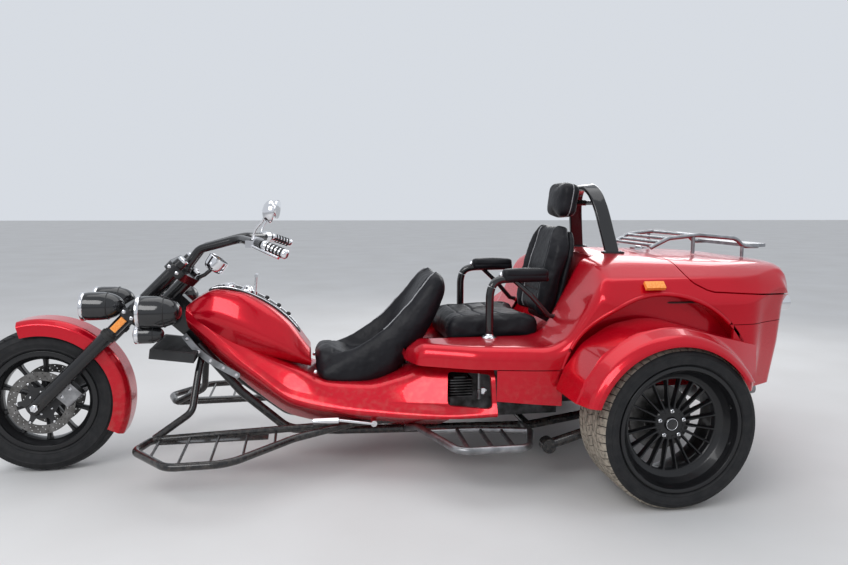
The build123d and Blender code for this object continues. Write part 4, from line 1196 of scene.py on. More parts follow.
def make_front_disc(label, hub):
    """A drilled brake disc with its star carrier and bolts."""
    low, high = 0.0740, 0.0790
    band = hub.turned(f"disc_{label}", [(0.102, low), (0.102, high), (0.140, high), (0.140, low)],
                      SLOTS["disc_steel"], 120)
    drills = bmesh.new()
    for row, radius in enumerate((0.110, 0.121, 0.132)):
        for i in range(24):
            turn = 2 * math.pi * (i + row / 3) / 24
            place = Matrix.Translation(hub.at(radius, 0.0765, turn)) @ Matrix.Rotation(math.pi / 2, 4, "X")
            bmesh.ops.create_cone(drills, cap_ends=True, segments=10, radius1=0.0028, radius2=0.0028,
                                  depth=0.02, matrix=place)
    drill_mesh = bpy.data.meshes.new("drills")
    drills.to_mesh(drill_mesh)
    drills.free()
    cut(band, drill_mesh)
    shade(band.data, 30)
    star = []
    arms = 6
    for i in range(arms * 12):
        turn = 2 * math.pi * i / (arms * 12)
        radius = 0.070 + 0.038 * max(0.0, math.cos(arms * turn)) ** 3
        star.append((FRONT_AXLE_X + radius * math.cos(turn), FRONT_WHEEL_R + radius * math.sin(turn)))
    levels = sorted((hub.side * 0.0745, hub.side * 0.0785))
    carrier = link_piece(f"disc_carrier_{label}", prism_mesh(star, levels[0], levels[1], 1), hub.body,
                         SLOTS["dark_plastic"], 30)
    pieces = [band, carrier]
    for i in range(arms):
        turn = 2 * math.pi * i / arms
        pieces.append(hex_nut(f"disc_bolt_{label}_{i}", hub.at(0.100, 0.0775, turn), (0, hub.side, 0), 0.0052,
                              0.005, hub.body, CHROME))
        pieces.append(hex_nut(f"hub_bolt_{label}_{i}", hub.at(0.050, 0.0780, turn + 0.5), (0, hub.side, 0),
                              0.0048, 0.005, hub.body, CHROME))
    for piece in pieces:
        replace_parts(piece, "brake_discs")


make_rear_wheel("left", -1, "rear_left_spinner")
make_rear_wheel("right", 1, "rear_right_spinner")
make_front_wheel()


# Upholstery

PIPING_R = 0.0035
COVER_FRAMES = 20


def cushion_from(name, mesh, voxel, cap, nodes_replaced):
    """A pad inflated from a plain closed form, with its movement capped."""
    pad = link_piece(name, mesh, "chassis", VINYL)
    remesh = pad.modifiers.new("even", "REMESH")
    remesh.mode = "VOXEL"
    remesh.voxel_size = voxel
    remesh.use_smooth_shade = True
    apply_modifiers(pad)
    soften(pad.data, 3)
    start = [vertex.co.copy() for vertex in pad.data.vertices]
    inflate(pad)
    for vertex, before in zip(pad.data.vertices, start):
        moved = vertex.co - before
        if moved.length > cap:
            vertex.co = before + moved * cap / moved.length
    soften(pad.data, 7)
    finer = pad.modifiers.new("finer", "SUBSURF")
    finer.levels = finer.render_levels = 1
    apply_modifiers(pad)
    pad.data.materials.clear()
    pad.data.materials.append(VINYL)
    pad.data.polygons.foreach_set("use_smooth", [True] * len(pad.data.polygons))
    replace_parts(pad, *nodes_replaced)
    return pad


def displace(mesh, amount):
    """Moves every point of a mesh along its normal, by an amount that depends on its place."""
    before = [(vertex.co.copy(), vertex.normal.copy()) for vertex in mesh.vertices]
    moved = [value for place, normal in before for value in place + normal * amount(place)]
    mesh.vertices.foreach_set("co", moved)
    mesh.update()


def soften(mesh, passes):
    """Evens out small steps and creases."""
    work = bmesh.new()
    work.from_mesh(mesh)
    for _ in range(passes):
        bmesh.ops.smooth_vert(work, verts=work.verts, factor=0.5,
                              use_axis_x=True, use_axis_y=True, use_axis_z=True)
    work.to_mesh(mesh)
    work.free()


def inflate(pad):
    """Blows a pad up as cloth over its filling."""
    scene = bpy.context.scene
    cloth = pad.modifiers.new("cover", "CLOTH")
    settings = cloth.settings
    settings.use_pressure = True
    settings.uniform_pressure_force = 4.0
    settings.effector_weights.gravity = 0.0
    settings.quality = 5
    settings.mass = 0.4
    settings.tension_stiffness = 18
    settings.compression_stiffness = 18
    settings.bending_stiffness = 1.5
    cloth.point_cache.frame_start = 1
    cloth.point_cache.frame_end = COVER_FRAMES
    for number in range(1, COVER_FRAMES + 1):
        scene.frame_set(number)
    apply_modifiers(pad)
    scene.frame_set(1)


def press_seams(pad, lines, depth, width):
    """Draws a pad in along its seams."""
    points = [Vector(point) for line in lines for point in line]
    tree = KDTree(len(points))
    for i, point in enumerate(points):
        tree.insert(point, i)
    tree.balance()
    displace(pad.data, lambda place: -depth * math.exp(-(tree.find(place)[2] / width) ** 2))


def wrinkle(pad, amount, size):
    """Gives a cover shallow, uneven creases."""
    displace(pad.data, lambda place: amount * noise.fractal(place / size, 0.8, 2.0, 3))


def onto(pad, points, direction, lift=0.0):
    """Points dropped onto a pad along a direction."""
    tree = ray_tree(pad.data)
    way = Vector(direction).normalized()
    landed = []
    for point in points:
        hit = tree.ray_cast(Vector(point) - way * 0.6, way)
        if hit[0] is not None:
            landed.append(hit[0] - way * lift)
    return landed


def piping(name, pad, points, direction, material, node):
    """A welt sewn along a line of a pad."""
    welt = bead(name, onto(pad, points, direction, 0.001), PIPING_R, "chassis", material, 8)
    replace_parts(welt, node)


def straight(start, end, count):
    """Evenly spaced points between two places."""
    first, last = Vector(start), Vector(end)
    return [first.lerp(last, i / (count - 1)) for i in range(count)]


def smooth_line(corners, count):
    """Evenly spaced points along a smooth curve through a few places."""
    keyed = [(i, *corner) for i, corner in enumerate(corners)]
    return [Vector(row[1:]) for row in smooth_rows(keyed, steps(0, len(corners) - 1, count))]


# columns: station, bolster top x and z, pad x and z, underside x and z, half width, pad half width
DRIVER_STATIONS = [
    (0.0, -0.358, 0.450, -0.348, 0.505, -0.346, 0.418, 0.160, 0.115),
    (0.5, -0.322, 0.474, -0.325, 0.543, -0.314, 0.391, 0.203, 0.130),
    (1.0, -0.255, 0.508, -0.258, 0.522, -0.240, 0.376, 0.212, 0.136),
    (2.0, -0.165, 0.554, -0.168, 0.482, -0.125, 0.368, 0.214, 0.136),
    (3.0, -0.062, 0.620, -0.066, 0.488, -0.022, 0.408, 0.214, 0.134),
    (4.0, 0.020, 0.688, 0.018, 0.572, 0.080, 0.508, 0.212, 0.132),
    (5.0, 0.086, 0.764, 0.084, 0.688, 0.158, 0.618, 0.209, 0.128),
    (6.0, 0.146, 0.842, 0.148, 0.796, 0.220, 0.742, 0.202, 0.120),
    (6.6, 0.182, 0.886, 0.190, 0.860, 0.248, 0.822, 0.184, 0.108),
    (7.0, 0.212, 0.902, 0.214, 0.890, 0.250, 0.866, 0.142, 0.084),
]


def driver_ring(row):
    """One closed section of the driver's seat, square to the way from pelvis to shoulders."""
    _, top_x, top_z, pad_x, pad_z, low_x, low_z, wide, pad_wide = row
    top, pad, low = Vector((top_x, 0, top_z)), Vector((pad_x, 0, pad_z)), Vector((low_x, 0, low_z))
    bolster = 0.5 * (wide + pad_wide)
    half = [(0.0, pad), (0.45 * pad_wide, pad), (0.85 * pad_wide, pad.lerp(top, 0.06)),
            (pad_wide, pad.lerp(top, 0.35)), (bolster - 0.012, pad.lerp(top, 0.9)), (bolster + 0.004, top),
            (wide - 0.012, top.lerp(low, 0.16)), (wide, top.lerp(low, 0.42)),
            (wide - 0.004, top.lerp(low, 0.68)), (wide - 0.022, top.lerp(low, 0.9)),
            (0.78 * wide, low), (0.3 * wide, low)]
    left = [Vector((place.x, -y, place.z)) for y, place in half]
    right = [Vector((place.x, y, place.z)) for y, place in half[:0:-1]]
    centre = [Vector((low.x, 0, low.z))]
    return left + centre + right


def make_driver_seat():
    """The driver's bucket: bolsters that run from the thighs up round the shoulders."""
    rows = [driver_ring(row) for row in smooth_rows(DRIVER_STATIONS, steps(0, 7, 57))]
    mesh = ring_mesh("driver_form", rows)
    seat = cushion_from("driver_cushion", mesh, 0.0085, 0.012, ["driver_seat"])
    lines = []
    for side in (-1, 1):
        lines.append([Vector((row[3], side * 0.92 * row[8], row[4] + 0.012))
                      for row in smooth_rows(DRIVER_STATIONS, steps(0.6, 6.8, 160))])
    for station in (0.9, 1.6, 2.3, 3.0):
        row = smooth_rows(DRIVER_STATIONS, [station])[0]
        lines.append(straight((row[3], -0.9 * row[8], row[4]), (row[3], 0.9 * row[8], row[4]), 60))
    press_seams(seat, lines, 0.007, 0.006)
    wrinkle(seat, 0.0016, 0.05)
    for side, name in SIDES:
        rim = [Vector((row[1] - 0.004, side * 0.5 * (row[7] + row[8]) * 0.93, row[2]))
               for row in smooth_rows(DRIVER_STATIONS, steps(3.2, 6.7, 90))]
        piping("driver_welt_" + name, seat, rim, (0.78, 0, -0.62), PIPING, "driver_seat")


def block_rings(low, high, round_corner, taper, count):
    """Rows round an upright rounded block, from a low and a high corner; taper draws its ends in."""
    outline = rounded_rectangle(low, high, round_corner, arc_steps=5, run_steps=9)
    middle = Vector(((low[0] + high[0]) / 2, (low[1] + high[1]) / 2))
    rows = []
    for t in steps(-1, 1, count):
        shrink = 1 - taper * abs(t) ** 6
        z = low[2] + (high[2] - low[2]) * (t + 1) / 2
        rows.append([(middle.x + (point.x - middle.x) * shrink, middle.y + (point.y - middle.y) * shrink, z)
                     for point in outline])
    return rows


def shaped_block(name, low, high, round_corner, taper, shape):
    """A closed rounded block whose points a function moves."""
    rings = block_rings(low, high, round_corner, taper, 15)
    rows = [[shape(Vector(point)) for point in row] for row in rings]
    mesh = grid_mesh(name, rows, close_columns=True)
    work = bmesh.new()
    work.from_mesh(mesh)
    rims = [edge for edge in work.edges if edge.is_boundary]
    bmesh.ops.holes_fill(work, edges=rims, sides=0)
    bmesh.ops.recalc_face_normals(work, faces=work.faces)
    work.to_mesh(mesh)
    work.free()
    return mesh


CUSHION_LOW, CUSHION_HIGH = (0.246, -0.246, 0.552), (0.690, 0.246, 0.668)
BOLSTER_Y = 0.175


def make_passenger_cushion():
    """The passenger's cushion: a quilted middle between two side bolsters."""
    def shape(point):
        height = (point.z - CUSHION_LOW[2]) / (CUSHION_HIGH[2] - CUSHION_LOW[2])
        side = ease(BOLSTER_Y - 0.03, BOLSTER_Y + 0.04, abs(point.y))
        back = ease(0.30, 0.60, point.x)
        lift = height * (side * (0.006 + 0.012 * back) - (1 - side) * 0.010 * back)
        return Vector((point.x, point.y, point.z + lift))
    mesh = shaped_block("cushion_form", CUSHION_LOW, CUSHION_HIGH, 0.045, 0.06, shape)
    pad = cushion_from("passenger_cushion", mesh, 0.0075, 0.014, ["passenger_seat"])
    lines = [straight((0.25, side * BOLSTER_Y, 0.68), (0.62, side * BOLSTER_Y, 0.67), 90) for side in (-1, 1)]
    lines += [straight((x, -BOLSTER_Y, 0.68), (x, BOLSTER_Y, 0.68), 70) for x in (0.33, 0.42, 0.51)]
    lines += [straight((0.243, -0.24, 0.645), (0.243, 0.24, 0.645), 90)]
    dropped = [onto(pad, line, DOWN) for line in lines[:-1]] + [lines[-1]]
    press_seams(pad, dropped, 0.006, 0.006)
    wrinkle(pad, 0.0018, 0.06)
    for side, name in SIDES:
        line = straight((0.262, side * BOLSTER_Y, 0.7), (0.60, side * BOLSTER_Y, 0.7), 60)
        piping("cushion_welt_" + name, pad, line, DOWN, VINYL, "passenger_seat")


BACK_FOOT, BACK_HEAD = Vector((0.738, 0, 0.640)), Vector((0.852, 0, 1.124))
BACK_HALF, BACK_PANEL = 0.214, 0.112


def on_back(across, up, out):
    """A point of the backrest: across it, up it, and out of it towards the front."""
    along = (BACK_HEAD - BACK_FOOT).normalized()
    front = Vector((-along.z, 0, along.x))
    return BACK_FOOT + along * up + front * out + Vector((0, across, 0))


def make_backrest():
    """The passenger's backrest: a bolstered front pad against a padded shell."""
    length = (BACK_HEAD - BACK_FOOT).length

    def front_shape(point):
        up = point.z / length
        narrow = 1 - 0.36 * ease(0.66, 1.02, up) ** 1.4 - 0.05 * ease(0.25, 0.0, up)
        front = ease(0.0, 0.025, point.x)
        bolster = 0.018 * ease(0.10, 0.16, abs(point.y)) * front
        belly = 0.010 * math.sin(math.pi * min(1.0, max(0.0, up * 1.05))) * front
        return on_back(point.y * narrow, point.z, point.x + bolster + belly)

    def rear_shape(point):
        up = point.z / length
        narrow = 1 - 0.36 * ease(0.66, 1.02, up) ** 1.4
        return on_back(point.y * narrow, point.z, point.x)

    mesh = shaped_block("back_form", (-0.014, -BACK_HALF, 0.02), (0.032, BACK_HALF, length - 0.02), 0.022,
                        0.10, front_shape)
    pad = cushion_from("backrest_pad", mesh, 0.0075, 0.013, ["passenger_backrest"])
    welts = []
    for side in (-1, 1):
        welts.append([on_back(side * BACK_PANEL * (1 - 0.12 * ease(0.6, 1, i / 99)),
                              0.04 + (length - 0.08) * i / 99, 0.2) for i in range(100)])
    forward = on_back(0, 0, -1) - on_back(0, 0, 0)
    lines = [onto(pad, line, forward) for line in welts]
    lines += [onto(pad, [on_back(y, up, 0.2) for y in steps(-BACK_PANEL, BACK_PANEL, 60)], forward)
              for up in (0.14, 0.20)]
    press_seams(pad, lines, 0.007, 0.006)
    wrinkle(pad, 0.0016, 0.06)
    for line, name in zip(welts, ("left", "right")):
        piping("backrest_welt_" + name, pad, line, forward, PIPING, "passenger_backrest")
    mesh = shaped_block("shell_form", (-0.050, 0.012 - BACK_HALF, -0.01),
                        (-0.018, BACK_HALF - 0.012, length - 0.035), 0.015, 0.10, rear_shape)
    shell = cushion_from("backrest_shell", mesh, 0.0100, 0.007, ["passenger_backrest"])
    wrinkle(shell, 0.0010, 0.07)


HEADREST_CENTRE, HEADREST_TILT = Vector((0.872, 0, 1.225)), math.radians(8)


def on_headrest(point):
    """A point of the headrest in its own axes, turned and put in place."""
    turn = Matrix.Rotation(HEADREST_TILT, 3, "Y")
    return HEADREST_CENTRE + turn @ Vector(point)


def make_headrest():
    """The headrest: a soft block with a welt round its sides."""
    def shape(point):
        wide = 1 + 0.05 * (point.z / 0.08)
        return on_headrest((point.x, point.y * wide, point.z))
    mesh = shaped_block("headrest_form", (-0.044, -0.116, -0.080), (0.044, 0.116, 0.080), 0.034, 0.22, shape)
    pad = cushion_from("headrest_pad", mesh, 0.006, 0.010, ["headrest"])
    middle = on_headrest((0.006, 0, 0))
    ring = []
    for i in range(96):
        turn = 2 * math.pi * i / 96
        squircle = (abs(math.cos(turn)) ** 4 + abs(math.sin(turn)) ** 4) ** -0.25
        ring.append(on_headrest((0.006, 0.20 * math.cos(turn) * squircle, 0.14 * math.sin(turn) * squircle)))
    press_seams(pad, [[onto(pad, [point], middle - point)[0] for point in ring]], 0.005, 0.005)
    wrinkle(pad, 0.0010, 0.05)
    landed = [onto(pad, [point], (middle - point).normalized(), 0.001)[0] for point in ring]
    welt = bead("headrest_welt", landed, 0.0026, "chassis", PIPING, 8, loop=True)
    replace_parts(welt, "headrest")


def make_arm_pads():
    """The two armrest pads."""
    for side, name in SIDES:
        middle = side * 0.288
        mesh = shaped_block("arm_form", (0.484, middle - 0.030, 0.857), (0.702, middle + 0.030, 0.914),
                            0.026, 0.10, lambda point: point)
        pad = cushion_from("arm_pad_" + name, mesh, 0.005, 0.005, ["armrest_pads"])
        seam = [Vector((x, middle + across * 0.031, 0.884))
                for across in (-1, 1) for x in steps(0.49, 0.70, 60)]
        press_seams(pad, [seam], 0.003, 0.004)


make_driver_seat()
make_passenger_cushion()
make_backrest()
make_headrest()
make_arm_pads()


# Lamps, controls and trim

# columns: name, place on the right, radius, length, body, node
LAMPS = [("front_lamp_", (-1.350, 0.100, 0.755), 0.063, 0.168, "steering", "front_lamps"),
         ("side_lamp_", (-1.087, 0.250, 0.746), 0.070, 0.170, "chassis", "side_lamps"),
         ("small_lamp_", (-1.100, 0.246, 0.650), 0.040, 0.110, "chassis", "side_lamps")]
# columns: y, x of each pair of tail lamps
TAIL_LAMPS = [(0.395, 1.838), (0.300, 1.850)]
TAIL_LAMP_Z = 0.752
GRIP_INNER, GRIP_OUTER = (-0.565, 0.348, 1.033), (-0.467, 0.402, 0.995)
MIRROR_HEAD, MIRROR_FOOT = (-0.532, 0.365, 1.172), (-0.615, 0.300, 1.045)
GAUGE_CENTRE, GAUGE_LEAN = Vector((-0.800, 0, 0.922)), math.radians(35)
GAUGE_TICKS = 13
FORK_SLOPE = math.radians(45)
LEG_Y = 0.120
SLIDER_TOP, LEG_TOP = 0.430, 0.880
# columns: name, along the fork, behind it, y, size, height of the bolts on both its sides
FORK_BOLTS = [("clamp_bolt_upper_{}_0", 0.835, -0.022, 0.1585, 0.0085, 0.009),
              ("clamp_bolt_upper_{}_1", 0.835, 0.020, 0.1585, 0.0085, 0.009),
              ("clamp_bolt_lower_{}_0", 0.560, -0.022, 0.1585, 0.0085, 0.009),
              ("clamp_bolt_lower_{}_1", 0.560, 0.020, 0.1585, 0.0085, 0.009),
              ("axle_nut_{}", 0.0, 0.0, 0.158, 0.017, 0.014),
              ("caliper_bolt_{}_0", 0.088, 0.045, 0.0985, 0.0075, 0.008),
              ("caliper_bolt_{}_1", 0.136, 0.045, 0.0985, 0.0075, 0.008),
              ("guard_bolt_{}_0", 0.325, -0.012, 0.0855, 0.007, 0.006),
              ("guard_bolt_{}_1", 0.352, 0.008, 0.0855, 0.007, 0.006)]
# columns: x, half width of the cowl's strip, a little inside its edge
STRIP_HALF = [(-0.83, 0.036), (-0.70, 0.057), (-0.42, 0.036)]
SWITCH_XS = (-0.575, -0.522, -0.478)
ABOVE_STRIP = 1.2
ARM_Y, ARM_FOOT_X = 0.302, 0.424
# columns: x, distance in from the armrest's foot, z
ARM_TUBE = [(0.424, 0.0, 0.606), (0.424, 0.0, 0.700), (0.424, 0.0, 0.780), (0.431, 0.0, 0.828),
            (0.455, 0.006, 0.858), (0.500, 0.012, 0.868), (0.600, 0.014, 0.870), (0.700, 0.016, 0.872)]
ARM_BRACE = [(0.530, 0.014, 0.872), (0.620, 0.0, 0.790), (0.700, 0.0, 0.700), (0.741, 0.0, 0.690)]
HINGE_X, HINGE_Y, HINGE_Z = 1.211, 0.150, 1.000
STRAP_HALF, STRAP_LENGTH = 0.0115, 0.036
HOOP_FOOT, HOOP_LEAN = Vector((1.044, 0, 0.960)), math.radians(10)
# columns: y, distance up the hoop, for its left half
HOOP_HALF = [(-0.222, 0.0), (-0.192, 0.120), (-0.158, 0.232), (-0.105, 0.306), (-0.035, 0.334)]
HOOP_ROD_X, HOOP_ROD_Z = 0.994, 1.212
PLATE_LOW, PLATE_HIGH = (-0.146, 0.544), (0.146, 0.676)
# places on the right side, from the cowl's nose down to the tub's front
NOSE_STRIP = [(-0.938, 0.075, 0.612), (-0.880, 0.095, 0.545), (-0.820, 0.112, 0.498),
              (-0.755, 0.130, 0.462), (-0.690, 0.148, 0.428)]


def lathe(name, start, way, rows, body, material, node=None, segments=40, smooth_angle=40):
    """A piece turned about a line, from (distance along it, radius) rows with its ends closed."""
    along = Vector(way).normalized()
    side = along.cross(UP if abs(along.z) < 0.9 else Vector((0, 1, 0))).normalized()
    over = side.cross(along)
    ends = [(rows[0][0], 0.0002)] + list(rows) + [(rows[-1][0], 0.0002)]
    turns = [2 * math.pi * k / segments for k in range(segments)]
    spokes = [side * math.cos(turn) + over * math.sin(turn) for turn in turns]
    rings = [[Vector(start) + along * distance + spoke * radius for spoke in spokes]
             for distance, radius in ends]
    piece = link_piece(name, ring_mesh(name, rings), body, material, smooth_angle)
    if node:
        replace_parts(piece, node)
    return piece


def curve_rows(rows, count):
    """More rows along a smooth curve through a few (distance, radius) rows."""
    return smooth_rows(rows, steps(rows[0][0], rows[-1][0], count))


def on_side(place, side):
    """A place that is given on the right side, put on either side."""
    return Vector((place[0], side * place[1], place[2]))


def on_fork(along, behind, y=0.0):
    """A place on the fork, along the legs from the axle and behind them."""
    return Vector((FRONT_AXLE_X + (along + behind) * math.cos(FORK_SLOPE), y,
                   FRONT_WHEEL_R + (along - behind) * math.sin(FORK_SLOPE)))


def make_lamp(name, place, radius, length, body, node):
    """A bullet lamp: shell, chrome ring, ribbed glass and seam band."""
    shell = [(0.004, 0.94 * radius), (0.18 * length, 0.985 * radius), (0.45 * length, 0.98 * radius),
             (0.75 * length, 0.82 * radius), (0.93 * length, 0.52 * radius), (length, 0.22 * radius)]
    ring = [(-0.004, 0.90 * radius), (-0.007, 0.94 * radius), (-0.005, radius), (0.006, 1.01 * radius),
            (0.010, 0.97 * radius)]
    glass = [(-0.016, 0.002), (-0.014, 0.45 * radius), (-0.008, 0.78 * radius), (0.002, 0.91 * radius)]
    band = [(0.60 * length, 0.93 * radius), (0.605 * length, 0.965 * radius),
            (0.625 * length, 0.950 * radius), (0.63 * length, 0.90 * radius)]
    parts = [("_shell", curve_rows(shell, 22), SLOTS["lamp_black"]), ("_ring", ring, CHROME),
             ("_glass", curve_rows(glass, 9), SLOTS["lamp_glass"]), ("_band", band, SLOTS["dark_plastic"])]
    for part, rows, material in parts:
        lathe(name + part, place, REARWARD, rows, body, material, node, 56, 60)


def make_lamps():
    """The front, side and small lamps of both sides."""
    for side, label in SIDES:
        for name, place, radius, length, body, node in LAMPS:
            make_lamp(name + label, on_side(place, side), radius, length, body, node)
        lathe("lamp_stalk_" + label, (-1.035, side * 0.248, 0.655), UP, [(0, 0.008), (0.065, 0.008)],
              "chassis", STEEL, "side_lamps", 20)
        hex_nut("lamp_nut_" + label, (-1.010, side * 0.250, 0.672), DOWN, 0.011, 0.012, "chassis", CHROME)


def make_tail_lamps():
    """Round tail lamps: a chrome ring and a domed red lens."""
    ring = [(-0.050, 0.0375), (-0.004, 0.0378), (0.000, 0.0372), (0.003, 0.0345), (0.001, 0.0325)]
    dome = curve_rows([(-0.004, 0.0330), (0.003, 0.0310), (0.009, 0.0180), (0.0105, 0.0010)], 9)
    for side, label in SIDES:
        for y, x in TAIL_LAMPS:
            name = f"tail_lamp_{label}_{round(y * 1000)}"
            place = (x, side * y, TAIL_LAMP_Z)
            lathe(name + "_ring", place, REARWARD, ring, "chassis", CHROME, "tail_lamps", 48, 50)
            lathe(name + "_lens", place, REARWARD, dome, "chassis", SLOTS["red_lens"], "tail_lamps", 48, 60)


def make_grips():
    """Chrome grips with rubber rings and rounded ends."""
    for side, label in SIDES:
        inner, outer = on_side(GRIP_INNER, side), on_side(GRIP_OUTER, side)
        way, length = (outer - inner).normalized(), (outer - inner).length
        sleeve = curve_rows([(0.0, 0.0190), (0.010, 0.0215), (0.045, 0.0190), (0.085, 0.0185),
                             (length - 0.008, 0.0210), (length, 0.0180), (length + 0.006, 0.0090)], 26)
        lathe("grip_sleeve_" + label, inner, way, sleeve, "steering", CHROME, "grips", 40, 60)
        for k in range(5):
            at = 0.022 + 0.017 * k
            rubber = [(at, 0.0180), (at + 0.0015, 0.0215), (at + 0.0085, 0.0215), (at + 0.010, 0.0180)]
            lathe(f"grip_ring_{label}_{k}", inner, way, rubber, "steering", RUBBER, "grips", 40, 30)


def make_mirrors():
    """Round mirrors in chrome shells on bent stalks, their glass towards the driver."""
    turn = math.radians(13)
    shell = curve_rows([(-0.006, 0.0470), (0.000, 0.0490), (0.012, 0.0440), (0.026, 0.0280), (0.032, 0.0060)],
                       14)
    ball = curve_rows([(-0.012, 0.006), (0.0, 0.0135), (0.012, 0.006)], 9)
    for side, label in SIDES:
        head, foot = on_side(MIRROR_HEAD, side), on_side(MIRROR_FOOT, side)
        back = Vector((-math.cos(turn), side * math.sin(turn), 0.10)).normalized()
        lathe("mirror_shell_" + label, head, back, shell, "steering", CHROME, "mirrors", 48, 60)
        lathe("mirror_glass_" + label, head, back, [(-0.0065, 0.0440), (-0.0060, 0.0455)], "steering",
              SLOTS["mirror_glass"], "mirrors", 48, 30)
        stalk = smooth_line([foot, foot.lerp(head, 0.3) + Vector((-0.006, 0, 0.012)),
                             foot.lerp(head, 0.7) + Vector((-0.004, 0, 0.006)), head + back * 0.018], 24)
        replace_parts(bead("mirror_stalk_" + label, stalk, 0.0048, "steering", CHROME, 12), "mirrors")
        lathe("mirror_ball_" + label, foot, UP, ball, "steering", BLACK, "mirrors", 24, 60)


def make_speedometer():
    """A chrome cup with a plain dial, ticks and a needle under its bezel."""
    way = Vector((math.sin(GAUGE_LEAN), 0, math.cos(GAUGE_LEAN)))
    side = Vector((0, 1, 0))
    over = way.cross(side)
    cup = curve_rows([(-0.031, 0.030), (-0.026, 0.041), (-0.010, 0.0475), (0.018, 0.0490), (0.026, 0.0490)],
                     12)
    rim = [(0.024, 0.0495), (0.031, 0.0500), (0.034, 0.0475), (0.0325, 0.0440), (0.028, 0.0440)]
    dial = [(0.0290, 0.0440), (0.0295, 0.0430)]
    parts = [("gauge_cup", cup, CHROME, 60), ("gauge_rim", rim, CHROME, 40),
             ("gauge_dial", dial, SLOTS["dark_plastic"], 30)]
    for name, rows, material, angle in parts:
        lathe(name, GAUGE_CENTRE, way, rows, "steering", material, "speedometer", 48, angle)
    for k in range(GAUGE_TICKS):
        turn = math.radians(-120 + 20 * k)
        spoke = over * -math.cos(turn) + side * math.sin(turn)
        start = GAUGE_CENTRE + way * 0.0302 + spoke * 0.034
        tick = bead(f"gauge_tick_{k}", [start, start + spoke * 0.006], 0.0007, "steering", PIPING, 6)
        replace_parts(tick, "speedometer")
    pointing = over * -math.cos(2.0) + side * math.sin(2.0)
    hub = GAUGE_CENTRE + way * 0.031
    hand = [hub - pointing * 0.006, hub + pointing * 0.032]
    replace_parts(bead("gauge_needle", hand, 0.0009, "steering", AMBER, 6), "speedometer")
    stem = [(-0.882, 0, 0.862), (-0.850, 0, 0.876), (-0.815, 0, 0.905)]
    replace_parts(bead("gauge_stem", stem, 0.009, "steering", BLACK, 12), "speedometer")


def make_fork_trim():
    """Seals and caps on the legs, bolts on the fork, the stem's nut and the bar's risers."""
    up = on_fork(1, 0) - on_fork(0, 0)
    seal = [(-0.014, 0.0315), (-0.012, 0.0345), (0.006, 0.0345), (0.010, 0.0300), (0.018, 0.0285)]
    cap = [(0.0, 0.0225), (0.004, 0.0240), (0.012, 0.0240), (0.016, 0.0200), (0.017, 0.0080)]
    riser = [(0.0, 0.030), (0.006, 0.030), (0.012, 0.0245), (0.020, 0.0240)]
    for side, label in SIDES:
        lathe("fork_seal_" + label, on_fork(SLIDER_TOP, 0, side * LEG_Y), up, seal, "steering", RUBBER)
        lathe("fork_cap_" + label, on_fork(LEG_TOP, 0, side * LEG_Y), up, cap, "steering", CHROME)
        for name, along, behind, y, size, height in FORK_BOLTS:
            place = on_fork(along, behind, side * y)
            hex_nut(name.format(label), place, (0, side, 0), size, height, "steering", CHROME)
    hex_nut("stem_nut", on_fork(0.866, 0.067), up, 0.021, 0.014, "steering", CHROME)
    for side in (-1, 1):
        lathe(f"riser_{side + 1}", on_fork(0.853, 0.026, side * 0.048), up, riser, "steering", BLACK)


def on_strip(x):
    """The place on the cowl's strip at a value of X, on its middle line."""
    return onto(nodes["cowl_trim"], [(x, 0, ABOVE_STRIP)], DOWN)[0]


def make_cowl_trim():
    """Chrome edges on the cowl's strip, its switches, the gear lever's base and the filler cap."""
    for side, label in SIDES:
        line = [(x, side * between(STRIP_HALF, x), ABOVE_STRIP) for x in steps(-0.815, -0.435, 60)]
        edge = onto(nodes["cowl_trim"], line, DOWN, 0.001)
        bead("cowl_edge_" + label, edge, 0.0032, "chassis", CHROME, 10)
    base = [(-0.003, 0.0150), (0.003, 0.0150), (0.005, 0.0120)]
    knob = curve_rows([(0.003, 0.0095), (0.010, 0.0105), (0.016, 0.0095), (0.019, 0.0030)], 8)
    for k, x in enumerate(SWITCH_XS):
        lathe(f"switch_base_{k}", on_strip(x), (0.45, 0, 1), base, "chassis", CHROME)
        lathe(f"switch_{k}", on_strip(x), (0.45, 0, 1), knob, "chassis", RUBBER, None, 24, 60)
    lever = [(-0.004, 0.032), (0.004, 0.032), (0.010, 0.024), (0.020, 0.020), (0.026, 0.012)]
    filler = [(-0.004, 0.034), (0.003, 0.034), (0.006, 0.030), (0.012, 0.029), (0.015, 0.024), (0.016, 0.008)]
    lathe("lever_base", on_strip(-0.66), (0.15, 0, 1), lever, "chassis", CHROME)
    lathe("filler_cap", on_strip(-0.745), (-0.1, 0, 1), filler, "chassis", CHROME)


def arm_line(rows, side):
    """The points of one side's armrest tube from (x, distance in from its foot, z) rows."""
    return [Vector((x, side * ARM_Y - side * inset, z)) for x, inset, z in rows]


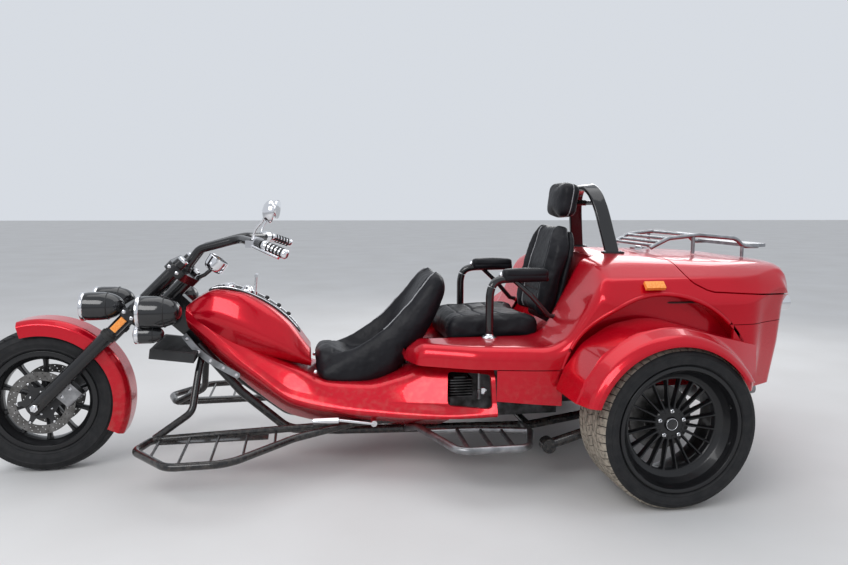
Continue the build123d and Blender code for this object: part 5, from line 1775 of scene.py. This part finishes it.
def make_armrest_tubes():
    """The armrests' stout tubes, braces, foot flanges with bolts, and chrome end knobs."""
    flange_rows = [(0.0, 0.036), (0.004, 0.036), (0.007, 0.030), (0.012, 0.023), (0.020, 0.0195)]
    knob = curve_rows([(0.0, 0.012), (0.006, 0.0135), (0.012, 0.011), (0.016, 0.003)], 8)
    for side, label in SIDES:
        y = side * ARM_Y
        black = SLOTS["lamp_black"]
        curve = smooth_line(arm_line(ARM_TUBE, side), 60)
        tube = bead("arm_tube_" + label, curve, 0.0185, "chassis", black, 24)
        brace = bead("arm_brace_" + label, arm_line(ARM_BRACE, side), 0.0115, "chassis", black, 14)
        flange = lathe("arm_flange_" + label, (ARM_FOOT_X, y, 0.602), UP, flange_rows, "chassis", CHROME)
        for piece in (tube, brace, flange):
            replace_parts(piece, "armrests")
        for k in range(3):
            turn = 2 * math.pi * (k + 0.25) / 3
            place = (ARM_FOOT_X + 0.028 * math.cos(turn), y + 0.028 * math.sin(turn), 0.6055)
            hex_nut(f"arm_bolt_{label}_{k}", place, UP, 0.0045, 0.005, "chassis", CHROME)
        lathe("arm_knob_" + label, (0.484, y - side * 0.014, 0.886), (-1, 0, 0), knob, "chassis", CHROME,
              None, 24, 60)


def make_lid_straps():
    """The lid's halves of its hinges: straps, knuckles and screws."""
    for side, label in SIDES:
        y = side * HINGE_Y
        corners = (HINGE_X, y - STRAP_HALF), (HINGE_X + STRAP_LENGTH, y + STRAP_HALF)
        outline = rounded_rectangle(*corners, 0, 0.008)
        strap = prism_mesh(outline, HINGE_Z - 0.010, HINGE_Z - 0.0015, 2)
        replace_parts(link_piece("lid_strap_" + label, strap, "lid", CHROME, 30), "trunk_lid")
        lathe("lid_knuckle_" + label, (HINGE_X, y - 0.0118, HINGE_Z), (0, 1, 0),
              [(0.0, 0.0058), (0.0236, 0.0058)], "lid", CHROME, "trunk_lid", 28)
        screw = (HINGE_X + 0.024, y, HINGE_Z - 0.002)
        hex_nut("lid_screw_" + label, screw, UP, 0.0045, 0.0035, "lid", CHROME)


def make_engine_side():
    """What shows in the side openings: cooling plates, an upright pipe and a filler ring."""
    pipe = [(0.0, 0.009), (0.030, 0.009), (0.032, 0.012), (0.044, 0.012), (0.046, 0.009), (0.125, 0.009)]
    ring = [(0.0, 0.013), (0.010, 0.0165), (0.014, 0.0165), (0.016, 0.014), (0.012, 0.011)]
    for side, label in SIDES:
        near, deep = sorted((side * 0.365, side * 0.232))
        plate = rounded_rectangle((0.228, near), (0.338, deep), 0.012)
        for k in range(7):
            low = 0.352 + 0.0125 * k
            mesh = prism_mesh(plate, low, low + 0.0035, 2)
            link_piece(f"cooling_plate_{label}_{k}", mesh, "chassis", SLOTS["engine_metal"], 30)
        core = rounded_rectangle((0.245, near + 0.016), (0.321, deep - 0.016), 0.02)
        link_piece("plate_core_" + label, prism_mesh(core, 0.346, 0.440, 2), "chassis", BLACK, 30)
        lathe("upright_pipe_" + label, (0.366, side * 0.352, 0.336), UP, pipe, "chassis", STEEL, None, 24)
        lathe("filler_ring_" + label, (0.386, side * 0.338, 0.372), (0, side, 0), ring, "chassis", CHROME,
              None, 32)


def swept_band(name, line, deep, section):
    """A band of one section along a line; deep is the way that the section's first axis points."""
    rows = []
    for i, point in enumerate(line):
        along = (line[min(i + 1, len(line) - 1)] - line[max(i - 1, 0)]).normalized()
        out = along.cross(deep).normalized()
        rows.append([point + deep * corner.x + out * corner.y for corner in section])
    return link_piece(name, ring_mesh(name, rows), "chassis", SLOTS["lamp_black"], 40)


def make_hoop():
    """The hoop behind the headrest: a wide flat band on two foot plates, with its cross rod."""
    up = Vector((-math.sin(HOOP_LEAN), 0, math.cos(HOOP_LEAN)))
    deep = Vector((math.cos(HOOP_LEAN), 0, math.sin(HOOP_LEAN)))
    path = HOOP_HALF + [(-across, rise) for across, rise in reversed(HOOP_HALF)]
    line = smooth_line([HOOP_FOOT + Vector((0, across, 0)) + up * rise for across, rise in path], 90)
    section = rounded_rectangle((-0.033, -0.012), (0.033, 0.012), 0.008)
    rod = [(HOOP_ROD_X, y, HOOP_ROD_Z) for y in (-0.150, 0.150)]
    post = [(x, 0, HOOP_ROD_Z) for x in (HOOP_ROD_X, 0.905)]
    pieces = [swept_band("hoop_band", line, deep, section),
              bead("hoop_rod", rod, 0.011, "chassis", BLACK, 18),
              bead("headrest_post", post, 0.014, "chassis", BLACK, 18)]
    for side, label in SIDES:
        y = side * 0.222
        plate = rounded_rectangle((0.992, y - 0.028), (1.092, y + 0.028), 0.010, None, 5)
        mesh = prism_mesh(plate, 0.950, 0.984, 2)
        pieces.append(link_piece("hoop_foot_" + label, mesh, "chassis", SLOTS["lamp_black"], 30))
        for k, x in enumerate((1.001, 1.083)):
            hex_nut(f"hoop_bolt_{side + 1}_{k}", (x, y, 0.984), UP, 0.006, 0.005, "chassis", CHROME)
    for piece in pieces:
        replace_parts(piece, "roll_hoop")


def make_plate():
    """A blank plate on its bracket, with four screws."""
    mesh = prism_mesh(rounded_rectangle(PLATE_LOW, PLATE_HIGH, 0.012), 1.8600, 1.8618, 0)
    link_piece("blank_plate", mesh, "chassis", SLOTS["blank_plate"], 30)
    for y in (-0.100, 0.100):
        for z in (0.560, 0.660):
            name = f"plate_screw_{round(y * 1000)}_{round(z * 1000)}"
            hex_nut(name, (1.8615, y, z), REARWARD, 0.0055, 0.003, "chassis", CHROME)


def make_boot_ledge():
    """The dark ledge between the boot's box and the deck, seen when the lid is open."""
    outline = rounded_rectangle((1.130, -0.570), (1.302, 0.570), 0.05, 0.03, 6)
    link_piece("boot_ledge", prism_mesh(outline, 0.783, 0.789, 2), "chassis", SLOTS["dark_plastic"], 30)


def make_nose_strips():
    """Bright strips with bolts down both sides of the nose, under the cowl."""
    for side, label in SIDES:
        line = [on_side(place, side) for place in NOSE_STRIP]
        out = Vector((0, side, 0))
        rows = []
        for point, following in zip(smooth_line(line, 40), smooth_line(line, 41)[1:]):
            over = (following - point).normalized().cross(out).normalized()
            rows.append([point + out * lift + over * across
                         for lift, across in ((0.0, -0.014), (0.006, -0.014), (0.006, 0.014), (0.0, 0.014))])
        link_piece("nose_strip_" + label, ring_mesh("strip", rows), "chassis", STEEL, 30)
        for k, number in enumerate((6, 28, 50, 72, 94)):
            place = smooth_line(line, 101)[number] + out * 0.006
            hex_nut(f"nose_bolt_{label}_{k}", place, out, 0.008, 0.005, "chassis", CHROME)


def make_seat_knobs():
    """Chrome knobs on the driver's seat."""
    knob = curve_rows([(0.0, 0.006), (0.006, 0.0105), (0.014, 0.009), (0.018, 0.002)], 8)
    for side, label in SIDES:
        lathe("seat_knob_" + label, (-0.348, side * 0.188, 0.446), (-0.7, side * 0.5, 0.1), knob, "chassis",
              CHROME, None, 24, 60)


make_lamps()
make_tail_lamps()
make_grips()
make_mirrors()
make_speedometer()
make_fork_trim()
make_cowl_trim()
make_armrest_tubes()
make_lid_straps()
make_engine_side()
make_hoop()
make_plate()
make_boot_ledge()
make_nose_strips()
make_seat_knobs()


# Stage, light and camera

CAMERA_PLACE = Vector((-0.3948, -3.3177, 1.2188))
CAMERA_YAW, CAMERA_PITCH, CAMERA_ROLL = 0.1701, 0.1096, 0.004
FOCAL_MM = 29.588
HORIZON_SHIFT = -0.0059


def make_camera():
    """The camera at the photograph's place, looking along +Y and a little down."""
    cos_pitch = math.cos(CAMERA_PITCH)
    forward = Vector((math.sin(CAMERA_YAW) * cos_pitch, math.cos(CAMERA_YAW) * cos_pitch,
                      -math.sin(CAMERA_PITCH)))
    level = Vector((math.cos(CAMERA_YAW), -math.sin(CAMERA_YAW), 0))
    over = level.cross(forward)
    right = level * math.cos(CAMERA_ROLL) + over * math.sin(CAMERA_ROLL)
    up = over * math.cos(CAMERA_ROLL) - level * math.sin(CAMERA_ROLL)
    data = bpy.data.cameras.new("camera")
    data.lens = FOCAL_MM
    data.shift_y = HORIZON_SHIFT
    camera = bpy.data.objects.new("camera", data)
    rotation = Matrix((right, up, -forward)).transposed().to_4x4()
    camera.matrix_world = Matrix.Translation(CAMERA_PLACE) @ rotation
    bpy.context.scene.collection.objects.link(camera)
    bpy.context.scene.camera = camera


def make_light(name, place, target, size, power):
    """A square soft light aimed at a point."""
    data = bpy.data.lights.new(name, "AREA")
    data.shape = "RECTANGLE"
    data.size, data.size_y = size
    data.energy = power
    light = bpy.data.objects.new(name, data)
    light.location = place
    light.rotation_euler = (Vector(target) - Vector(place)).to_track_quat("-Z", "Y").to_euler()
    bpy.context.scene.collection.objects.link(light)


def make_floor():
    """A pale floor that keeps the object's shadow."""
    mesh = bpy.data.meshes.new("floor")
    reach = 40.0
    mesh.from_pydata([(-reach, -reach, 0), (reach, -reach, 0), (reach, reach, 0), (-reach, reach, 0)],
                     [], [(0, 1, 2, 3)])
    floor = bpy.data.objects.new("floor", mesh)
    bpy.context.scene.collection.objects.link(floor)
    concrete = Finish("floor", (0.62, 0.61, 0.60), 0.85)
    concrete.mottle(1.3, 6.0, (0.60, 0.59, 0.58), (0.66, 0.655, 0.65))
    mesh.materials.append(concrete.material)


def make_world():
    """A pale, even surround."""
    world = bpy.data.worlds.new("surround")
    world.use_nodes = True
    world.node_tree.nodes["Background"].inputs["Color"].default_value = (0.80, 0.84, 0.90, 1.0)
    world.node_tree.nodes["Background"].inputs["Strength"].default_value = 0.85
    bpy.context.scene.world = world


make_camera()
make_world()
make_floor()
make_light("key", (-2.6, -3.4, 3.6), (0.1, 0, 0.5), (3.2, 2.2), 110)
make_light("overhead", (0.3, 0.4, 4.2), (0.1, 0, 0.4), (5.5, 3.0), 60)
make_light("rim", (2.6, 3.2, 2.6), (0.4, 0, 0.6), (3.0, 1.8), 50)
bpy.context.scene.view_settings.view_transform = "Standard"
